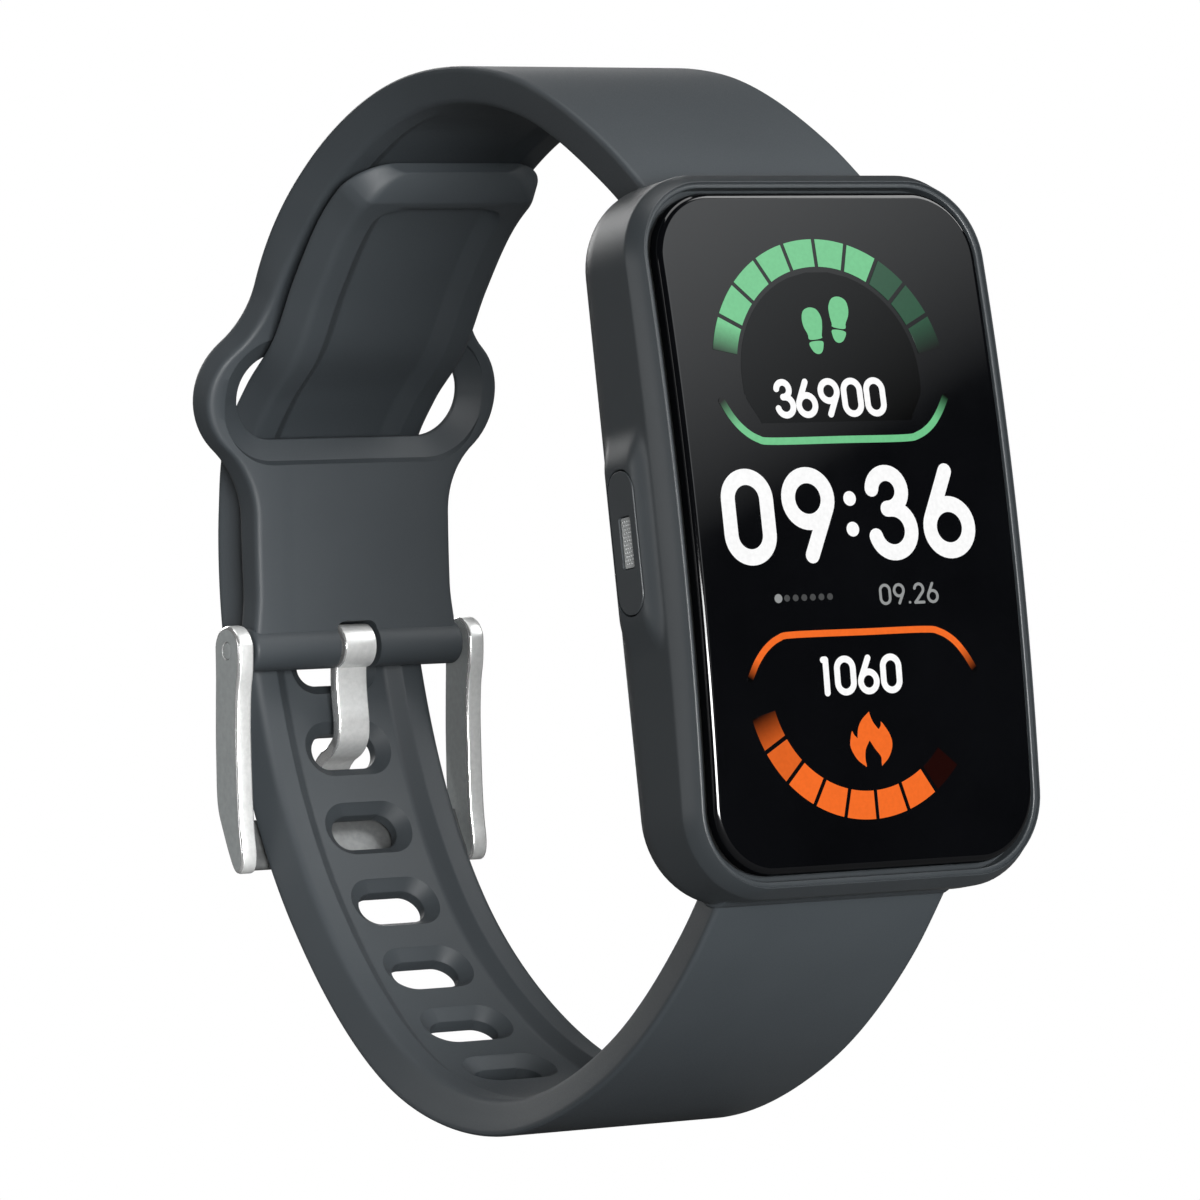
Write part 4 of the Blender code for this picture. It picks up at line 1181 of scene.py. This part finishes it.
FINISH = {
    "lens_gasket": SEAL, "display_panel": SCREEN, "display_flex": FLEX, "inner_chassis": CHIP,
    "main_board": BOARD, "shield_can": STEEL, "radio_chip": CHIP, "battery": FOIL,
    "board_screw_a": STEEL, "board_screw_b": STEEL, "vibration_motor": STEEL, "motor_weight": STEEL,
    "button_seal": SEAL, "tact_switch": CHIP, "back_seal": SEAL, "sensor_board": BOARD,
    "heart_led_a": LED, "heart_led_b": LED, "light_sensor": CHIP, "charge_contact_a": GOLD,
    "charge_contact_b": GOLD, "upper_bar_tube": STEEL, "upper_release_tip": STEEL,
    "upper_bar_spring": POLISHED, "lower_bar_tube": STEEL, "lower_release_tip": STEEL,
    "lower_bar_spring": POLISHED,
}
for name, finish in FINISH.items():
    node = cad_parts[name]
    node.data.materials.clear()
    node.data.materials.append(finish)

upper_strap()
lower_strap()
case_shell()
lens()
side_key()
back()
buckle()
prong()
display()


# Floor, light and camera.

FLOOR_HALF = 3.0
CAMERA_AZIMUTH = math.radians(-32.9)
CAMERA_ELEVATION = math.radians(3.47)
CAMERA_DISTANCE = 0.45
CAMERA_AIM = Vector((0.0018, -0.0003, 0.0335))
CAMERA_LENS = 212.5
CAMERA_WAY = Vector((
    math.sin(CAMERA_AZIMUTH) * math.cos(CAMERA_ELEVATION),
    -math.cos(CAMERA_AZIMUTH) * math.cos(CAMERA_ELEVATION),
    math.sin(CAMERA_ELEVATION),
))
CAMERA_PLACE = CAMERA_AIM + CAMERA_WAY * CAMERA_DISTANCE


def flat_card(name, half, material):
    bm = bmesh.new()
    bmesh.ops.create_grid(bm, x_segments=1, y_segments=1, size=half)
    mesh = bpy.data.meshes.new(name)
    bm.to_mesh(mesh)
    bm.free()
    mesh.materials.append(material)
    made = bpy.data.objects.new(name, mesh)
    bpy.context.scene.collection.objects.link(made)
    return made


def floor():
    """White where the camera sees it, and darker to the light that bounces off it."""
    material, tree, shader = shader_of("pale_floor")
    shader.inputs["Base Color"].default_value = (0.12, 0.12, 0.12, 1.0)
    shader.inputs["Roughness"].default_value = 0.9
    shader.inputs["Specular IOR Level"].default_value = 0.1
    seen = node_of(tree, "Emission", Color=(1.0, 1.0, 1.0, 1.0))
    white_to_camera(tree, shader.outputs["BSDF"], seen.outputs["Emission"],
                    tree.nodes["Material Output"].inputs["Surface"])
    made = flat_card("floor", FLOOR_HALF, material)
    made.location.z = CAD_BOX[0].z - 0.0001


def surroundings():
    world = bpy.data.worlds.new("studio")
    world.use_nodes = True
    tree = world.node_tree
    shade = tree.nodes["Background"]
    shade.inputs["Color"].default_value = (0.004, 0.0042, 0.0044, 1.0)
    seen = node_of(tree, "Background", Color=(1.0, 1.0, 1.0, 1.0))
    white_to_camera(tree, shade.outputs["Background"], seen.outputs["Background"],
                    tree.nodes["World Output"].inputs["Surface"])
    bpy.context.scene.world = world


def stand_at(name, data, place, facing):
    """A light or camera at place, looking along facing."""
    made = bpy.data.objects.new(name, data)
    made.location = place
    made.rotation_mode = "QUATERNION"
    made.rotation_quaternion = facing.to_track_quat("-Z", "Y")
    bpy.context.scene.collection.objects.link(made)
    return made


def softbox(name, place, size, power):
    data = bpy.data.lights.new(name, "AREA")
    data.shape = "RECTANGLE"
    data.size, data.size_y = size
    data.energy = power
    stand_at(name, data, place, Vector((0, 0, MIDDLE)) - Vector(place))


def camera():
    data = bpy.data.cameras.new("camera")
    data.lens = CAMERA_LENS
    data.sensor_width = 36.0
    data.clip_start, data.clip_end = 0.01, 10.0
    bpy.context.scene.camera = stand_at("camera", data, CAMERA_PLACE, -CAMERA_WAY)


def around(azimuth, elevation, distance):
    """A point seen from the object's middle, with azimuth 0 straight in front of the glass."""
    a, e = math.radians(azimuth), math.radians(elevation)
    return Vector((
        distance * math.sin(a) * math.cos(e), -distance * math.cos(a) * math.cos(e),
        distance * math.sin(e) + MIDDLE,
    ))


MIDDLE = 0.034
CARD_DISTANCE = 0.2
CARD_HALF = 0.09
CARD_ALONG = Vector((0.62, 0.78, 0.0)).normalized()
CARD_FADE = (0.009, 0.052)
CARD_CURVE = 0.75
CARD_GAIN = 1.95


def glow_card():
    """A card where the camera sees it mirrored in the glass, lit at its top and fading down."""
    normal = (TO_FRAME.to_3x3() @ Vector((0, -1, 0))).normalized()
    seen = (CAMERA_PLACE - TO_FRAME.translation).normalized()
    away = 2 * seen.dot(normal) * normal - seen
    across = away.cross(Vector((0, 0, 1))).normalized()
    upward = across.cross(away)
    material, tree, shader = shader_of("card_glow")
    ramp = remap(tree, distance_along(tree, CARD_ALONG), 0.0, 1.0, *CARD_FADE)
    shader.inputs["Base Color"].default_value = (0.0, 0.0, 0.0, 1.0)
    shader.inputs["Specular IOR Level"].default_value = 0.0
    shader.inputs["Emission Color"].default_value = (0.95, 0.98, 1.0, 1.0)
    for operation, value in (("POWER", CARD_CURVE), ("MULTIPLY", CARD_GAIN)):
        step = tree.nodes.new("ShaderNodeMath")
        step.operation = operation
        step.inputs[1].default_value = value
        tree.links.new(ramp, step.inputs[0])
        ramp = step.outputs["Value"]
    tree.links.new(ramp, shader.inputs["Emission Strength"])
    made = flat_card("glow_card", CARD_HALF, material)
    turn = Matrix((across, upward, -away)).transposed().to_4x4()
    made.matrix_world = Matrix.Translation(TO_FRAME.translation + away * CARD_DISTANCE) @ turn
    made.visible_camera = False
    made.visible_shadow = False


floor()
surroundings()
glow_card()
softbox("left_rim", around(-106, 6, 0.6), (0.3, 0.2), 0.45)
softbox("right_key", around(60, 42, 0.6), (0.3, 0.3), 1.7)
softbox("front_low", around(-17.5, 5, 0.6), (0.3, 0.12), 3.4)
softbox("front_left", around(-19, 4, 0.6), (0.3, 0.2), 4.2)
softbox("top_light", (0.0, 0.1, 0.85), (0.6, 0.5), 2.6)
softbox("back_light", (0.1, 0.75, 0.28), (0.7, 0.3), 3.3)
camera()
bpy.context.scene.view_settings.view_transform = "Standard"
